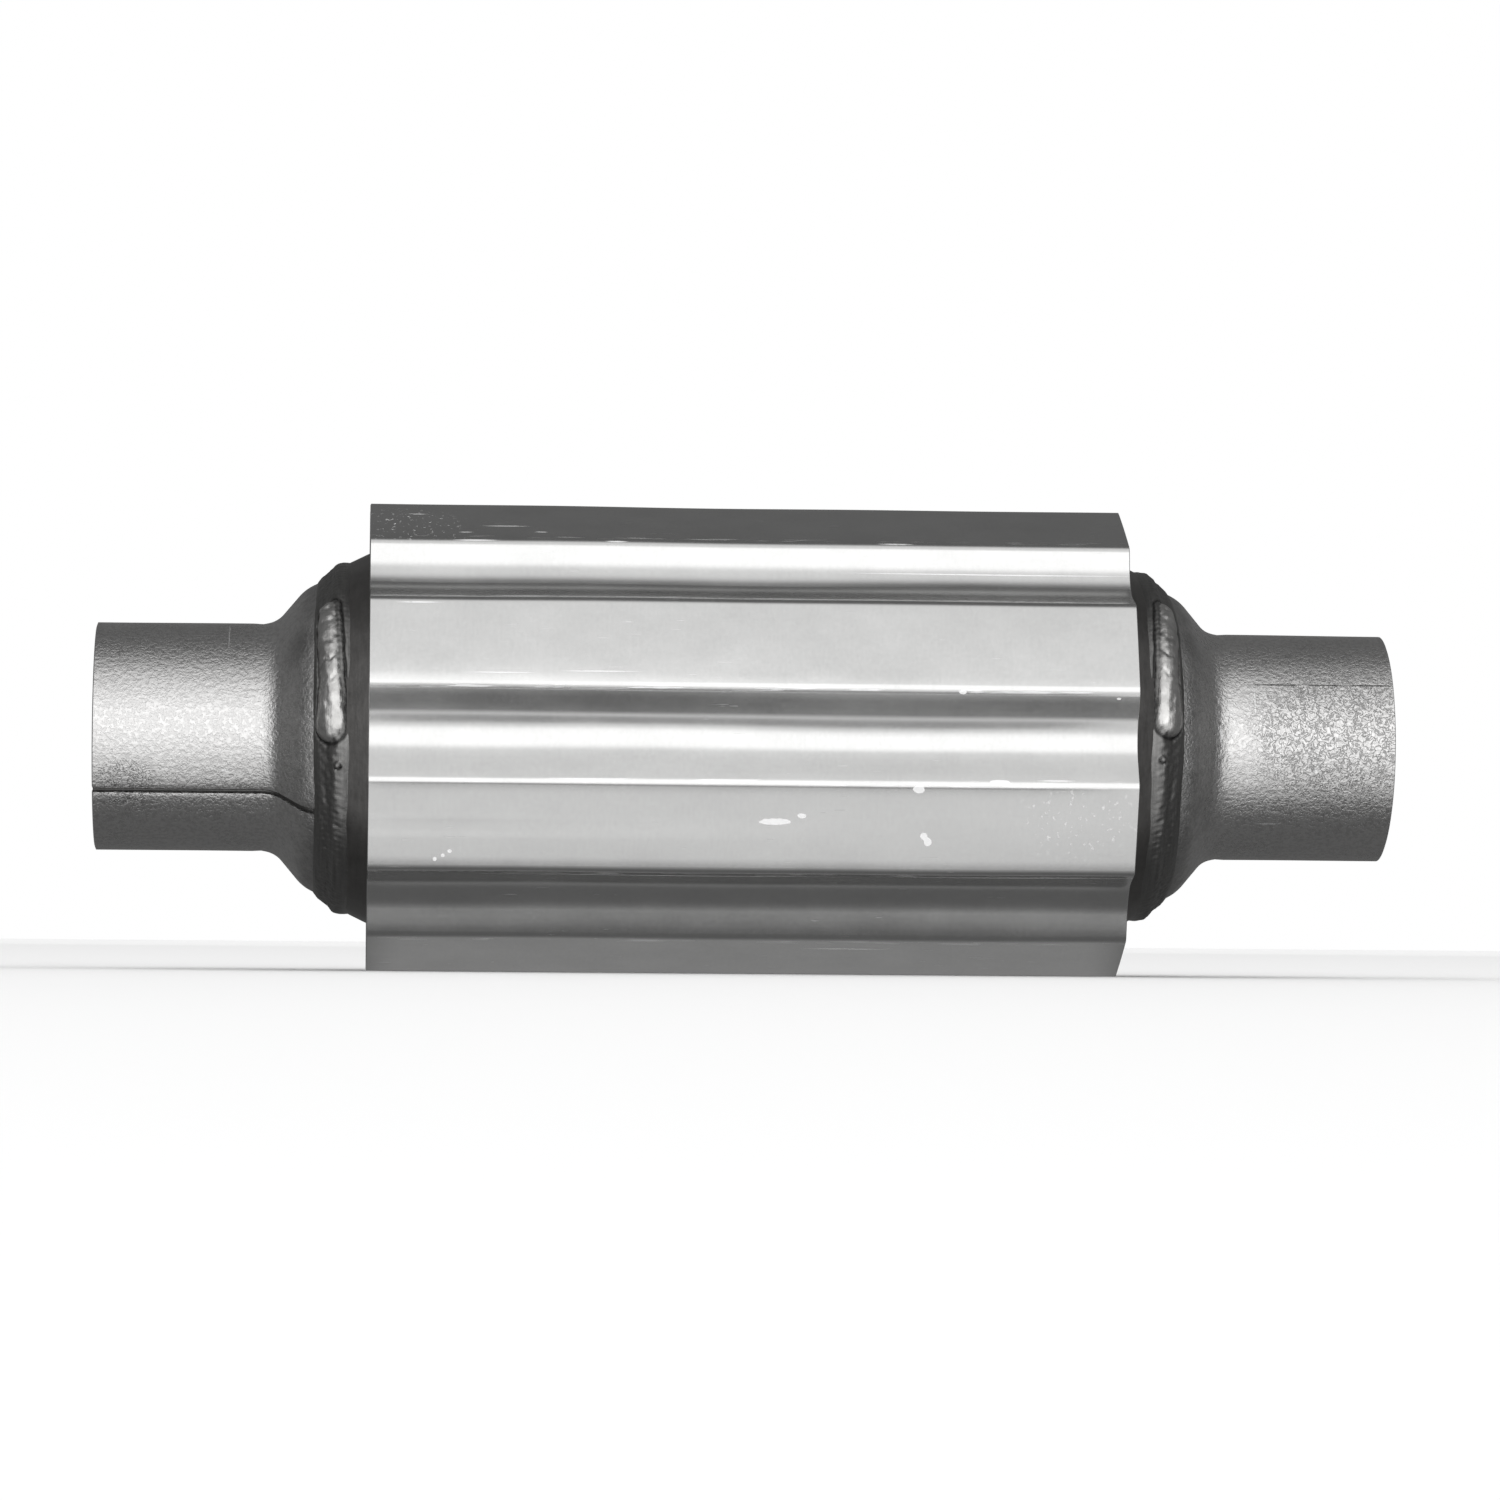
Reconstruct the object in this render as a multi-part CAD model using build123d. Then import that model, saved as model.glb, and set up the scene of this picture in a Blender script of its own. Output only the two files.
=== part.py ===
from build123d import *

# Round-body catalytic converter with a ribbed heat shield wrapped round it.
# The gas path runs along X, with the inlet at -X and the outlet at +X. The origin is on that axis, midway
# between the two pipe ends. +Z is up: the converter lies on the two lowest crests of its heat shield.
# A clock angle is measured round the axis from the front, which is -Y, upwards. Sizes are in millimetres.

import os
from math import atan2, cos, degrees, hypot, radians, sin, tan

# Overall
overall_length = 343.0

# Necks: each is one sheet rolled to a pipe, flared at its inner end and welded along its seam
pipe_bore = 57.6
neck_wall = 1.5
flare_angle = 50.0
flare_root_bend = 7.0
flare_brow_bend = 12.0
flare_shown = 7.0
neck_lap = 8.5
neck_seam_width = 1.3
neck_seam_depth = 0.8
inlet_seam_clock = -30.0
outlet_seam_clock = 205.0

# Body shell: a rolled tube with both ends pressed down to a mouth
body_diameter = 112.0
shell_wall = 1.2
shoulder_length = 23.8
shoulder_bend = 12.0
mouth_diameter = 88.8
shell_seam_width = 2.4
shell_seam_cap = 0.4
shell_seam_clock = 202.5
lap_clearance = 0.05

# Girth welds between necks and shell, each with a raised stretch where the run was closed
bead_width = 8.6
bead_crown = 4.6
bead_height = 1.3
bead_inboard = 1.0
bead_root = 4.0
closing_width = 7.6
closing_height = 2.7
closing_from = -1.0
closing_to = 54.0

# Ceramic bricks, their mats and the wire-mesh rings that guard the mats' edges
mat_room = 4.0
brick_length = 76.0
brick_gap = 12.0
brick_end_room = 3.9
brick_skin = 1.2
cell_pitch = 9.0
cell_wall = 1.2
smallest_cell_share = 0.35
packing_clearance = 0.03
mesh_ring_width = 5.0
mat_joint_width = 0.6
mat_tongue = 22.0
mat_joint_clock = 112.0

# Heat shield: one ribbed sheet wrapped round the shell, lapped and spot welded at the back
shield_length = 199.0
shield_sheet = 0.8
rib_height = 6.4
rib_count = 8
groove_angle = 22.2
groove_slope = 33.0
groove_seat_gap = 0.1
fold_bend = 3.0
root_bend = 11.5
root_bend_share = 0.9
lap_width = 14.0
lap_gap = 0.1
lap_step = 3.0
lap_panel = 3
spot_diameter = 5.0
spot_count = 5
spot_end_margin = 20.0
spot_dimple = 0.15

# Sizes that follow from the ones above
neck_radius = pipe_bore / 2 + neck_wall
body_radius = body_diameter / 2
brick_radius = body_radius - shell_wall - mat_room
shell_straight = brick_gap + 2 * (brick_length + brick_end_room)
mouth_x = shell_straight / 2 + shoulder_length
shoulder_angle = degrees(atan2(body_radius - mouth_diameter / 2, shoulder_length))
pitch_angle = 360.0 / rib_count
groove_bottom = body_radius + groove_seat_gap + shield_sheet
crest_radius = groove_bottom + rib_height
panel_angle = pitch_angle - groove_angle
panel_distance = crest_radius * cos(radians(panel_angle / 2))

# Drawing planes: a half section with X along the axis and Y outwards to the front,
# and a cross section with X to the front and Y up
half_section = Plane(origin=(0, 0, 0), x_dir=(1, 0, 0), z_dir=(0, 0, -1))
cross_section = Plane(origin=(0, 0, 0), x_dir=(0, -1, 0), z_dir=(-1, 0, 0))


def at_clock(shape, clock):
    """The shape, made at the front, turned round the axis to a clock angle."""
    return shape.rotate(Axis.X, -clock)


def other_end(shape):
    """The shape's mirror image at the outlet end."""
    return mirror(shape, about=Plane.YZ)


def direction(angle):
    return (cos(radians(angle)), sin(radians(angle)))


def turn_at(before, corner, after):
    """The signed turn of a path at a corner in degrees, left turns positive."""
    heading_in = atan2(corner[1] - before[1], corner[0] - before[0])
    heading_out = atan2(after[1] - corner[1], after[0] - corner[0])
    return degrees(atan2(sin(heading_out - heading_in), cos(heading_out - heading_in)))


def set_in(corners, depth):
    """A path's corners moved to its right by a depth, mitred at each turn."""
    moved = []
    for i, (x, y) in enumerate(corners):
        before, after = corners[max(i - 1, 0)], corners[min(i + 1, len(corners) - 1)]
        heading = atan2(after[1] - before[1], after[0] - before[0])
        mitre = 1.0
        if 0 < i < len(corners) - 1:
            turn = turn_at(before, (x, y), after)
            heading = atan2(y - before[1], x - before[0]) + radians(turn) / 2
            mitre = 1 / cos(radians(turn) / 2)
        moved.append((x + depth * mitre * sin(heading), y - depth * mitre * cos(heading)))
    return moved


def bent_line(corners, bends, depth):
    """A path set in by a depth, with each bend's radius changed to match."""
    radii = []
    for i, bend in enumerate(bends):
        turn = turn_at(corners[i], corners[i + 1], corners[i + 2])
        radii.append(bend + depth if turn > 0 else bend - depth)
    return FilletPolyline(*set_in(corners, depth), radius=radii)


def sheet_section(corners, bends, top, bottom):
    """The half section of a bent sheet, between two depths under its outer line."""
    outer = bent_line(corners, bends, top)
    inner = bent_line(corners, bends, bottom)
    ends = [Line(outer @ 0, inner @ 0), Line(outer @ 1, inner @ 1)]
    return half_section * make_face([*outer.edges(), *inner.edges(), *ends])


def area_under(corners, bends):
    """The area between an outer line and the axis."""
    outer = bent_line(corners, bends, 0)
    start, end = outer @ 0, outer @ 1
    walls = [
        Line((start.X, 0), start),
        Line(end, (end.X, 0)),
        Line((end.X, 0), (start.X, 0)),
    ]
    return make_face([*outer.edges(), *walls])


def seamed(wall, seam, width):
    """A rolled sheet left open at the front by an angle, and the weld that fills the opening."""
    sheet = at_clock(revolve(wall, Axis.X, 360 - width), -width / 2)
    return sheet, at_clock(revolve(seam, Axis.X, width), width / 2)


# Outer lines of the sheets, as corners of (distance along X, radius)


def shell_corners():
    """The shell's outer line, from the inlet mouth to the outlet mouth."""
    straight = shell_straight / 2
    return [
        (-mouth_x, mouth_diameter / 2),
        (-straight, body_radius),
        (straight, body_radius),
        (mouth_x, mouth_diameter / 2),
    ]


def neck_corners():
    """The inlet neck's outer line, from the pipe end to the lapped end inside the shell."""
    slope = tan(radians(shoulder_angle))
    under_shell = (shell_wall + lap_clearance) / cos(radians(shoulder_angle))

    def lap_line(x):
        return mouth_diameter / 2 - under_shell + slope * (x + mouth_x)

    brow_x = -mouth_x - flare_shown
    root_x = brow_x - (lap_line(brow_x) - neck_radius) / tan(radians(flare_angle))
    lap_end = -mouth_x + neck_lap
    return [
        (-overall_length / 2, neck_radius),
        (root_x, neck_radius),
        (brow_x, lap_line(brow_x)),
        (lap_end, lap_line(lap_end)),
    ]


shell_bends = [shoulder_bend, shoulder_bend]
neck_bends = [flare_root_bend, flare_brow_bend]


# Pressure-tight casing


def inlet_neck_at_front():
    """The inlet neck with its seam at the front, and the weld sunk in that seam."""
    corners = neck_corners()
    wall = sheet_section(corners, neck_bends, 0, neck_wall)
    seam = sheet_section(corners, neck_bends, neck_seam_depth, neck_wall)
    return seamed(wall, seam, degrees(neck_seam_width / neck_radius))


def body_shell_at_front():
    """The body shell with its seam at the front, and the slightly proud weld in that seam."""
    corners = shell_corners()
    wall = sheet_section(corners, shell_bends, 0, shell_wall)
    seam = sheet_section(corners, shell_bends, -shell_seam_cap, shell_wall)
    return seamed(wall, seam, degrees(shell_seam_width / body_radius))


def on_shoulder(along, out):
    """A point of the inlet shoulder's half section, measured from the bead's middle."""
    run, rise = direction(shoulder_angle)
    seat_x = -mouth_x + bead_inboard
    seat_radius = mouth_diameter / 2 + bead_inboard * tan(radians(shoulder_angle))
    return (seat_x + along * run - out * rise, seat_radius + along * rise + out * run)


def low_bead_section():
    """The low bead's section: a flat crown with a slope down to the neck and to the shell."""
    toe, crown = bead_width / 2, bead_crown / 2
    step = shell_wall + lap_clearance
    return Polygon(
        on_shoulder(-toe, -bead_root),
        on_shoulder(-toe, -step),
        on_shoulder(-crown, bead_height),
        on_shoulder(crown, bead_height),
        on_shoulder(toe, 0),
        on_shoulder(toe, -bead_root),
        align=None,
    )


def closing_run(seats):
    """The raised stretch of round bead with ball ends, cut to the surfaces it lies on."""
    radius = (closing_width**2 / 4 + closing_height**2) / (2 * closing_height)
    centre = on_shoulder(0, closing_height - radius)
    section = Pos(*centre) * Circle(radius) - seats
    run = revolve(half_section * section, Axis.X, closing_to - closing_from)
    ball = Pos(centre[0], -centre[1], 0) * Sphere(radius)
    ball -= [revolve(half_section * seat, Axis.X) for seat in seats]
    return [at_clock(run, closing_to), at_clock(ball, closing_from), at_clock(ball, closing_to)]


def inlet_girth_weld():
    """The bead round the shell's mouth, with the raised stretch that closes the run."""
    seats = [area_under(neck_corners(), neck_bends), area_under(shell_corners(), shell_bends)]
    ring = revolve(half_section * (low_bead_section() - seats), Axis.X)
    return ring + closing_run(seats)


# Inside of the casing


def brick_starts():
    """Where each brick's inlet face lies along X."""
    return {"front": -brick_length - brick_gap / 2, "rear": brick_gap / 2}


def brick(start):
    """A round ceramic brick with square cells from face to face and a closed skin."""
    half_count = int(brick_radius // cell_pitch)
    cell_size = cell_pitch - cell_wall
    core = Circle(brick_radius - brick_skin)
    cells = []
    for row in range(-half_count, half_count + 1):
        for column in range(-half_count, half_count + 1):
            cell = Pos(column * cell_pitch, row * cell_pitch) * Rectangle(cell_size, cell_size)
            cell = cell & core
            if cell and cell.area > smallest_cell_share * cell_size**2:
                cells.append(cell)
    face = Circle(brick_radius) - cells
    solid = extrude(cross_section * face, amount=-brick_length)
    return Pos(start, 0, 0) * solid


def packing_ring(start, width):
    """A ring that fills the room between brick and shell, over a width along X."""
    inner = brick_radius + packing_clearance
    outer = body_radius - shell_wall - packing_clearance
    ring = extrude(cross_section * (Circle(outer) - Circle(inner)), amount=-width)
    return Pos(start, 0, 0) * ring


def mat(start):
    """The mat round a brick: a strip whose ends meet in a tongue and slot joint."""
    width = brick_length - 2 * mesh_ring_width
    ring = packing_ring(start + mesh_ring_width, width)
    depth = body_radius
    middle = start + brick_length / 2
    third = width / 3
    shift = degrees(mat_tongue / body_radius)
    for place, length, clock in (
        (middle - third, third, mat_joint_clock),
        (middle, third, mat_joint_clock + shift),
        (middle + third, third, mat_joint_clock),
    ):
        cut = Pos(place, -depth / 2, 0) * Box(length + mat_joint_width, depth, mat_joint_width)
        ring -= at_clock(cut, clock)
    edge = Pos(0, body_radius / 2) * Rectangle(mat_joint_width, body_radius)
    for place in (middle - third / 2, middle + third / 2):
        step = revolve(half_section * Pos(place, 0) * edge, Axis.X, shift)
        ring -= at_clock(step, mat_joint_clock + shift)
    return ring


# Heat shield


def rib_point(clock, distance, aside):
    """A point of the cross section, outwards along a clock angle and aside from it."""
    outward, sideways = direction(clock), direction(clock + 90)
    return tuple(distance * outward[k] + aside * sideways[k] for k in (0, 1))


def ribbed_outline():
    """The shield's outer line: grooves with sloped walls and flat panels in turn, all bends rounded."""
    half_chord = crest_radius * sin(radians(groove_angle / 2))
    crest_distance = crest_radius * cos(radians(groove_angle / 2))
    half_root = half_chord - (crest_distance - groove_bottom) / tan(radians(groove_slope))
    corners = []
    for i in range(rib_count):
        middle = i * pitch_angle
        corners.append(rib_point(middle, crest_distance, -half_chord))
        corners.append(rib_point(middle, groove_bottom, -half_root))
        corners.append(rib_point(middle, groove_bottom, half_root))
        corners.append(rib_point(middle, crest_distance, half_chord))
    outline = make_face(Polyline(*corners, close=True))
    by_radius = outline.vertices().sort_by(lambda corner: hypot(corner.X, corner.Y))
    room = half_root / tan(radians(groove_slope / 2))
    outline = fillet(by_radius[: 2 * rib_count], radius=min(root_bend, root_bend_share * room))
    by_radius = outline.vertices().sort_by(lambda corner: hypot(corner.X, corner.Y))
    return fillet(by_radius[-2 * rib_count :], radius=fold_bend)


def lap_place():
    """The location of the lap joint: X inwards along the panel's normal, Y along the panel."""
    return Rot(0, 0, (lap_panel + 0.5) * pitch_angle) * Pos(panel_distance, 0)


def lapped_section():
    """The ribbed ring opened on one panel, with its stepped end lapped under the other."""
    outline = ribbed_outline()
    ring = outline - offset(outline, amount=-shield_sheet)
    edge = lap_width / 2
    under = shield_sheet + lap_gap
    opening = Pos(-shield_sheet / 2, edge + lap_step / 2) * Rectangle(2 * shield_sheet, lap_step)
    step = Polygon(
        (0, edge + lap_step),
        (-shield_sheet, edge + lap_step),
        (-under - shield_sheet, edge + lap_gap),
        (-under, edge + lap_gap),
        align=None,
    )
    reach = lap_width + lap_gap
    tail = Pos(-under - shield_sheet / 2, lap_gap / 2) * Rectangle(shield_sheet, reach)
    place = lap_place()
    return (ring - place * opening) + place * step + place * tail


def spot_places():
    """Where the spot welds sit along X."""
    reach = shield_length / 2 - spot_end_margin
    return [-reach + 2 * reach * i / (spot_count - 1) for i in range(spot_count)]


def spot_plug(x, top, bottom):
    """A round plug square to the lapped panel, between two depths under its surface."""
    plug = Cylinder(spot_diameter / 2, bottom - top, align=(Align.CENTER, Align.CENTER, Align.MAX))
    lying = Pos(0, -panel_distance + top, 0) * Rot(90, 0, 0) * plug
    return Pos(x, 0, 0) * at_clock(lying, (lap_panel + 0.5) * pitch_angle)


def heat_shield():
    """The wrapped sheet, with the holes that its spot welds fill."""
    shield = extrude(cross_section * lapped_section(), amount=shield_length / 2, both=True)
    stack = 2 * shield_sheet + lap_gap
    return shield - [spot_plug(x, -1, stack + 1) for x in spot_places()]


def shield_spot_welds():
    """The weld nuggets through both layers of the lap, dimpled on both faces."""
    stack = 2 * shield_sheet + lap_gap
    return Compound([spot_plug(x, spot_dimple, stack - spot_dimple) for x in spot_places()])


def single(shape):
    """The one solid of a shape that is made as one piece."""
    solids = shape.solids()
    assert len(solids) == 1, f"{len(solids)} solids where one piece is expected"
    return solids[0]


def all_pieces():
    """Every piece of the converter under its name."""
    neck, neck_seam = inlet_neck_at_front()
    shell, shell_seam = body_shell_at_front()
    shell_seam = at_clock(shell_seam, shell_seam_clock)
    weld = inlet_girth_weld()
    pieces = {
        "inlet_neck": single(at_clock(neck, inlet_seam_clock)),
        "inlet_neck_seam_weld": single(at_clock(neck_seam, inlet_seam_clock)),
        "outlet_neck": single(other_end(at_clock(neck, outlet_seam_clock))),
        "outlet_neck_seam_weld": single(other_end(at_clock(neck_seam, outlet_seam_clock))),
        "body_shell": single(at_clock(shell, shell_seam_clock)),
        "body_seam_weld": single(shell_seam),
        "inlet_girth_weld": single(weld - shell_seam),
        "outlet_girth_weld": single(other_end(weld) - shell_seam),
        "heat_shield": single(heat_shield()),
        "shield_spot_welds": shield_spot_welds(),
    }
    for name, start in brick_starts().items():
        ends = {"inlet": start, "outlet": start + brick_length - mesh_ring_width}
        pieces[f"{name}_brick"] = single(brick(start))
        pieces[f"{name}_mat"] = single(mat(start))
        for side, place in ends.items():
            pieces[f"{name}_mat_{side}_ring"] = single(packing_ring(place, mesh_ring_width))
    return pieces


os.makedirs("parts", exist_ok=True)
for piece_name, piece in all_pieces().items():
    export_step(piece, f"parts/{piece_name}.step")
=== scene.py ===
"""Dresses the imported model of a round-body catalytic converter and sets it on a plain studio stage."""

from math import cos, pi, radians, sin, tan

import bpy
import numpy as np
from bpy.props import FloatProperty, FloatVectorProperty, IntProperty, PointerProperty
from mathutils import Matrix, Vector


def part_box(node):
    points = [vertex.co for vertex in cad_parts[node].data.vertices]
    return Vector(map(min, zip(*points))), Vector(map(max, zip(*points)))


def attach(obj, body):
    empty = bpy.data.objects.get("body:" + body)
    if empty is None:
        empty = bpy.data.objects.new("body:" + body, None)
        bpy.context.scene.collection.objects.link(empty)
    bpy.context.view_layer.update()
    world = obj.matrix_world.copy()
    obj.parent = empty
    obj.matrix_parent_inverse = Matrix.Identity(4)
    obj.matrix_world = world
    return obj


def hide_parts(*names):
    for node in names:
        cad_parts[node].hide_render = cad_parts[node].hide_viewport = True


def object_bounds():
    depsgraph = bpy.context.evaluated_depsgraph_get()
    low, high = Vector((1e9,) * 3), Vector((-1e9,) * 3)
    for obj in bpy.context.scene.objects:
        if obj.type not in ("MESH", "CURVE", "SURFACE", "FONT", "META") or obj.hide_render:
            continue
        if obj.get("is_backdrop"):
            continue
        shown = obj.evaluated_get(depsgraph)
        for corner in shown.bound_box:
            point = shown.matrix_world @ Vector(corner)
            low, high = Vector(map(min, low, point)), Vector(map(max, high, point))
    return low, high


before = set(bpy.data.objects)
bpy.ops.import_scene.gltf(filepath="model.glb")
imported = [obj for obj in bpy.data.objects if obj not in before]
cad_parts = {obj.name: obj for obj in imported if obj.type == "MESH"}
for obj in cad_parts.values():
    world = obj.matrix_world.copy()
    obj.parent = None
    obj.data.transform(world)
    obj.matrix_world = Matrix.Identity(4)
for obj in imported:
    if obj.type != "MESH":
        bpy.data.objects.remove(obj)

bl_info = {
    "name": "Catalytic Converter Looks",
    "version": (1, 0, 0),
    "blender": (4, 5, 0),
    "location": "View3D > Sidebar > Converter",
    "description": "Builds the visible surfaces, finishes and stage of a round-body catalytic converter",
    "category": "Object",
}

MM = 0.001
HAIR = 0.1 * MM  # clearance between sheets that touch
SAME_PLACE = 1e-6  # corners closer than this are one corner
LAP_PANEL = 3.5  # the panel at the back that carries the lap, counted in pitches from the front
SHORT_RIB = 5  # the rib, counted from the lap, whose upper fold sits short
BEAD_RADIUS = 45 * MM  # mean radius of the girth beads
TENT_GLOW = 2.0
CAD_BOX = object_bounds()
SHIELD_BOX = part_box("heat_shield")
NECK_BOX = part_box("inlet_neck")
SHELL_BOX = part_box("body_shell")


# Sizes and colours


def number_setting(name, description, value, **more):
    return FloatProperty(name=name, description=description, default=value, **more)


def length_setting(name, description, value):
    return number_setting(name, description, value, min=0.0, unit="LENGTH")


def edge_setting(name, description, value):
    return number_setting(name, description, value, unit="LENGTH")


def angle_setting(name, description, degrees):
    return number_setting(name, description, radians(degrees), unit="ROTATION")


def vector_setting(name, description, values, **more):
    return FloatVectorProperty(name=name, description=description, default=values, size=len(values), **more)


def span_setting(name, description, *degrees):
    return vector_setting(name, description, [radians(value) for value in degrees], unit="ROTATION")


def colour_setting(name, description, value):
    return vector_setting(name, description, value, min=0.0, max=1.0, subtype="COLOR")


class ShieldSettings(bpy.types.PropertyGroup):
    length: length_setting("Length", "Length of the sheet along the body", SHIELD_BOX[1].x - SHIELD_BOX[0].x)
    sheet: length_setting("Sheet", "Thickness of the sheet", 0.8 * MM)
    crest_radius: length_setting("Crest Radius", "Distance from the axis to the sharp fold lines", 63.3 * MM)
    ribs: IntProperty(name="Ribs", description="Grooves pressed along the sheet", default=8, min=3)
    groove_angle: angle_setting("Groove Angle", "Clock angle from fold to fold across a groove", 22.2)
    groove_depth: length_setting("Groove Depth", "Depth of a groove under its fold lines", 5.2 * MM)
    wall_slope: angle_setting("Wall Slope", "Slope of a groove's walls", 30.0)
    fold_bend: length_setting("Fold Bend", "Outside radius of the folded crests", 3.0 * MM)
    root_bend: length_setting("Root Bend", "Radius of the bends at a groove's root", 11.3 * MM)
    short_fold: angle_setting("Short Fold", "How far one fold sits short of its even place", 2.2)
    lap: length_setting("Lap", "Width of the overlap at the back", 14.0 * MM)
    spots: IntProperty(name="Spots", description="Spot welds along the lap", default=5, min=2)
    spot_margin: length_setting("Spot Margin", "From the sheet's end to the last spot weld", 20.0 * MM)
    spot_radius: length_setting("Spot Radius", "Radius of a spot weld's mark", 2.5 * MM)
    spot_dimple: length_setting("Spot Dimple", "Depth of the hollow round a spot weld", 0.25 * MM)
    waviness: length_setting("Waviness", "Height of the slow waves left by rolling", 0.12 * MM)
    crown: length_setting("Crown", "Height of the panels' slight crown", 0.3 * MM)
    rolled_fold: length_setting("Rolled Fold", "Drop of the front's upper fold at the inlet end", 0.5 * MM)
    twist: length_setting("Twist", "Uneven height of the grooves' walls along the sheet", 0.1 * MM)
    colour: colour_setting("Colour", "Reflective colour of the bright sheet", (0.66, 0.66, 0.655))


class NeckSettings(bpy.types.PropertyGroup):
    radius: length_setting("Radius", "Outside radius of the pipe ends", 30.3 * MM)
    wall: length_setting("Wall", "Thickness of the neck's sheet", 1.5 * MM)
    seam: length_setting("Seam", "Width of the sunk seam", 1.3 * MM)
    inlet_seam: angle_setting("Inlet Seam", "Clock angle of the inlet neck's seam", -30.0)
    outlet_seam: angle_setting("Outlet Seam", "Clock angle of the outlet neck's seam", 205.0)
    colour: colour_setting("Colour", "Reflective colour of the mill-finish sheet", (0.66, 0.655, 0.65))


class ShellSettings(bpy.types.PropertyGroup):
    radius: length_setting("Radius", "Outside radius of the body", 56.0 * MM)
    wall: length_setting("Wall", "Thickness of the shell's sheet", 1.2 * MM)
    mouth: length_setting("Mouth", "Outside radius of the body's mouths", 44.4 * MM)
    shoulder: angle_setting("Shoulder", "Slope of the pressed-down ends", 26.0)
    seam: length_setting("Seam", "Width of the seam", 2.4 * MM)
    seam_clock: angle_setting("Seam Place", "Clock angle of the shell's seam", 202.5)
    colour: colour_setting("Colour", "Reflective colour of the heat-dulled sheet", (0.21, 0.205, 0.2))


class WeldSettings(bpy.types.PropertyGroup):
    width: length_setting("Bead Width", "Width of the low bead", 10.6 * MM)
    offset: length_setting("Bead Offset", "How far the low bead's middle lies towards the neck", 1.0 * MM)
    height: length_setting("Bead Height", "Height of the low bead over the shell", 1.3 * MM)
    closing_width: length_setting("Closing Width", "Width of the raised stretch", 8.0 * MM)
    closing_height: length_setting("Closing Height", "Height of the raised stretch", 2.4 * MM)
    closing_from: angle_setting("Closing From", "Clock angle where the inlet's raised stretch begins", 2.4)
    closing_to: angle_setting("Closing To", "Clock angle where the inlet's raised stretch ends", 47.0)
    crevice: length_setting("Crevice", "Depth of the crevice round the raised stretch", 0.4 * MM)
    crater: length_setting("Crater", "Depth of the crater at the raised stretch's end", 1.1 * MM)
    spatter: length_setting("Spatter", "Radius of the ball of spatter", 1.0 * MM)
    spatter_place: vector_setting(
        "Spatter Place", "The ball's distance round from the front and across the bead", (-8.3 * MM, 1.9 * MM)
    )
    outlet_turn: angle_setting("Outlet Turn", "How much further round the outlet's bead is", 4.6)
    ripple: length_setting("Ripple", "Spacing of the ripples along a bead", 1.7 * MM)
    colour: colour_setting("Colour", "Reflective colour of the weld metal", (0.6, 0.595, 0.585))


class BrickSettings(bpy.types.PropertyGroup):
    pitch: length_setting("Cell Pitch", "Spacing of the honeycomb's square cells", 1.27 * MM)
    web: length_setting("Web", "Thickness of the walls between cells", 0.17 * MM)
    skin: length_setting("Skin", "Thickness of the closed skin", 2.2 * MM)
    set_back: length_setting("Set Back", "How far the skin's ends lie behind the webs'", 0.03 * MM)
    colour: colour_setting("Colour", "Colour of the coated ceramic", (0.5, 0.455, 0.39))


class PackingSettings(bpy.types.PropertyGroup):
    fibre: colour_setting("Fibre", "Colour of the mats' fibre", (0.72, 0.68, 0.6))
    fleck: colour_setting("Fleck", "Colour of the mineral flecks", (0.42, 0.36, 0.28))
    wire: colour_setting("Wire", "Reflective colour of the knitted wire", (0.45, 0.45, 0.44))


class StageSettings(bpy.types.PropertyGroup):
    floor_radius: length_setting("Floor Radius", "Reach of the pale floor", 6.0)
    floor_colour: colour_setting("Floor Colour", "Colour of the pale floor", (0.9, 0.9, 0.9))
    sky_level: number_setting("Sky Level", "Soft light from all round", 1.0)
    lamp_distance: length_setting("Lamp Distance", "Distance from the object to both soft lamps", 2.4)
    lamp_width: length_setting("Lamp Width", "Width of both soft lamps", 2.8)
    lamp_glow: number_setting("Lamp Glow", "Brightness of both soft lamps' faces", 0.3)
    shade_front: edge_setting("Shade Front", "Front edge of the dim floor", -78 * MM)
    shade_back: edge_setting("Shade Back", "Back edge of the dim floor", 0.3)
    strip_far: edge_setting("Strip Far", "Front edge of the half-dim strip", -215 * MM)
    strip_near: edge_setting("Strip Near", "Back edge of the half-dim strip", -128 * MM)
    strip_edge: length_setting("Strip Edge", "Width of the strip's soft edges", 4 * MM)
    tent_radius: length_setting("Tent Radius", "Distance to the tent's cloth", 3.0)
    tent_level: number_setting("Tent Level", "Brightness of the tent's cloth", 0.15)
    lamp_level: number_setting("Lamp Level", "Brightness that the lamp adds to the opening", 0.8)
    opening_low: span_setting("Opening Low", "Lower edge of the opening, dim to bright", -54.0, -47.0)
    opening_high: span_setting("Opening High", "Upper edge of the opening, bright to dim", 58.0, 88.0)
    opening_side: span_setting("Opening Side", "Side edges of the opening, bright to dim", 27.0, 58.0)
    lamp_low: span_setting("Lamp Low", "Lower edge of the lamp seen in the opening", -16.0, -4.0)
    lamp_high: span_setting("Lamp High", "Upper edge of the lamp seen in the opening", 28.0, 42.0)
    camera_place: vector_setting("Camera Place", "Where the camera stands", (-0.1027, -1.66, -0.052))
    camera_aim: vector_setting("Camera Aim", "Where the camera looks", (0.0024, 0.0, -0.0020))
    camera_roll: angle_setting("Camera Roll", "Turn of the camera round its own line of sight", 0.48)
    camera_lens: number_setting("Camera Lens", "Focal length in millimetres", 149.2)


GROUPS = {
    "shield": ShieldSettings,
    "necks": NeckSettings,
    "shell": ShellSettings,
    "welds": WeldSettings,
    "bricks": BrickSettings,
    "packing": PackingSettings,
    "stage": StageSettings,
}


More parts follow.
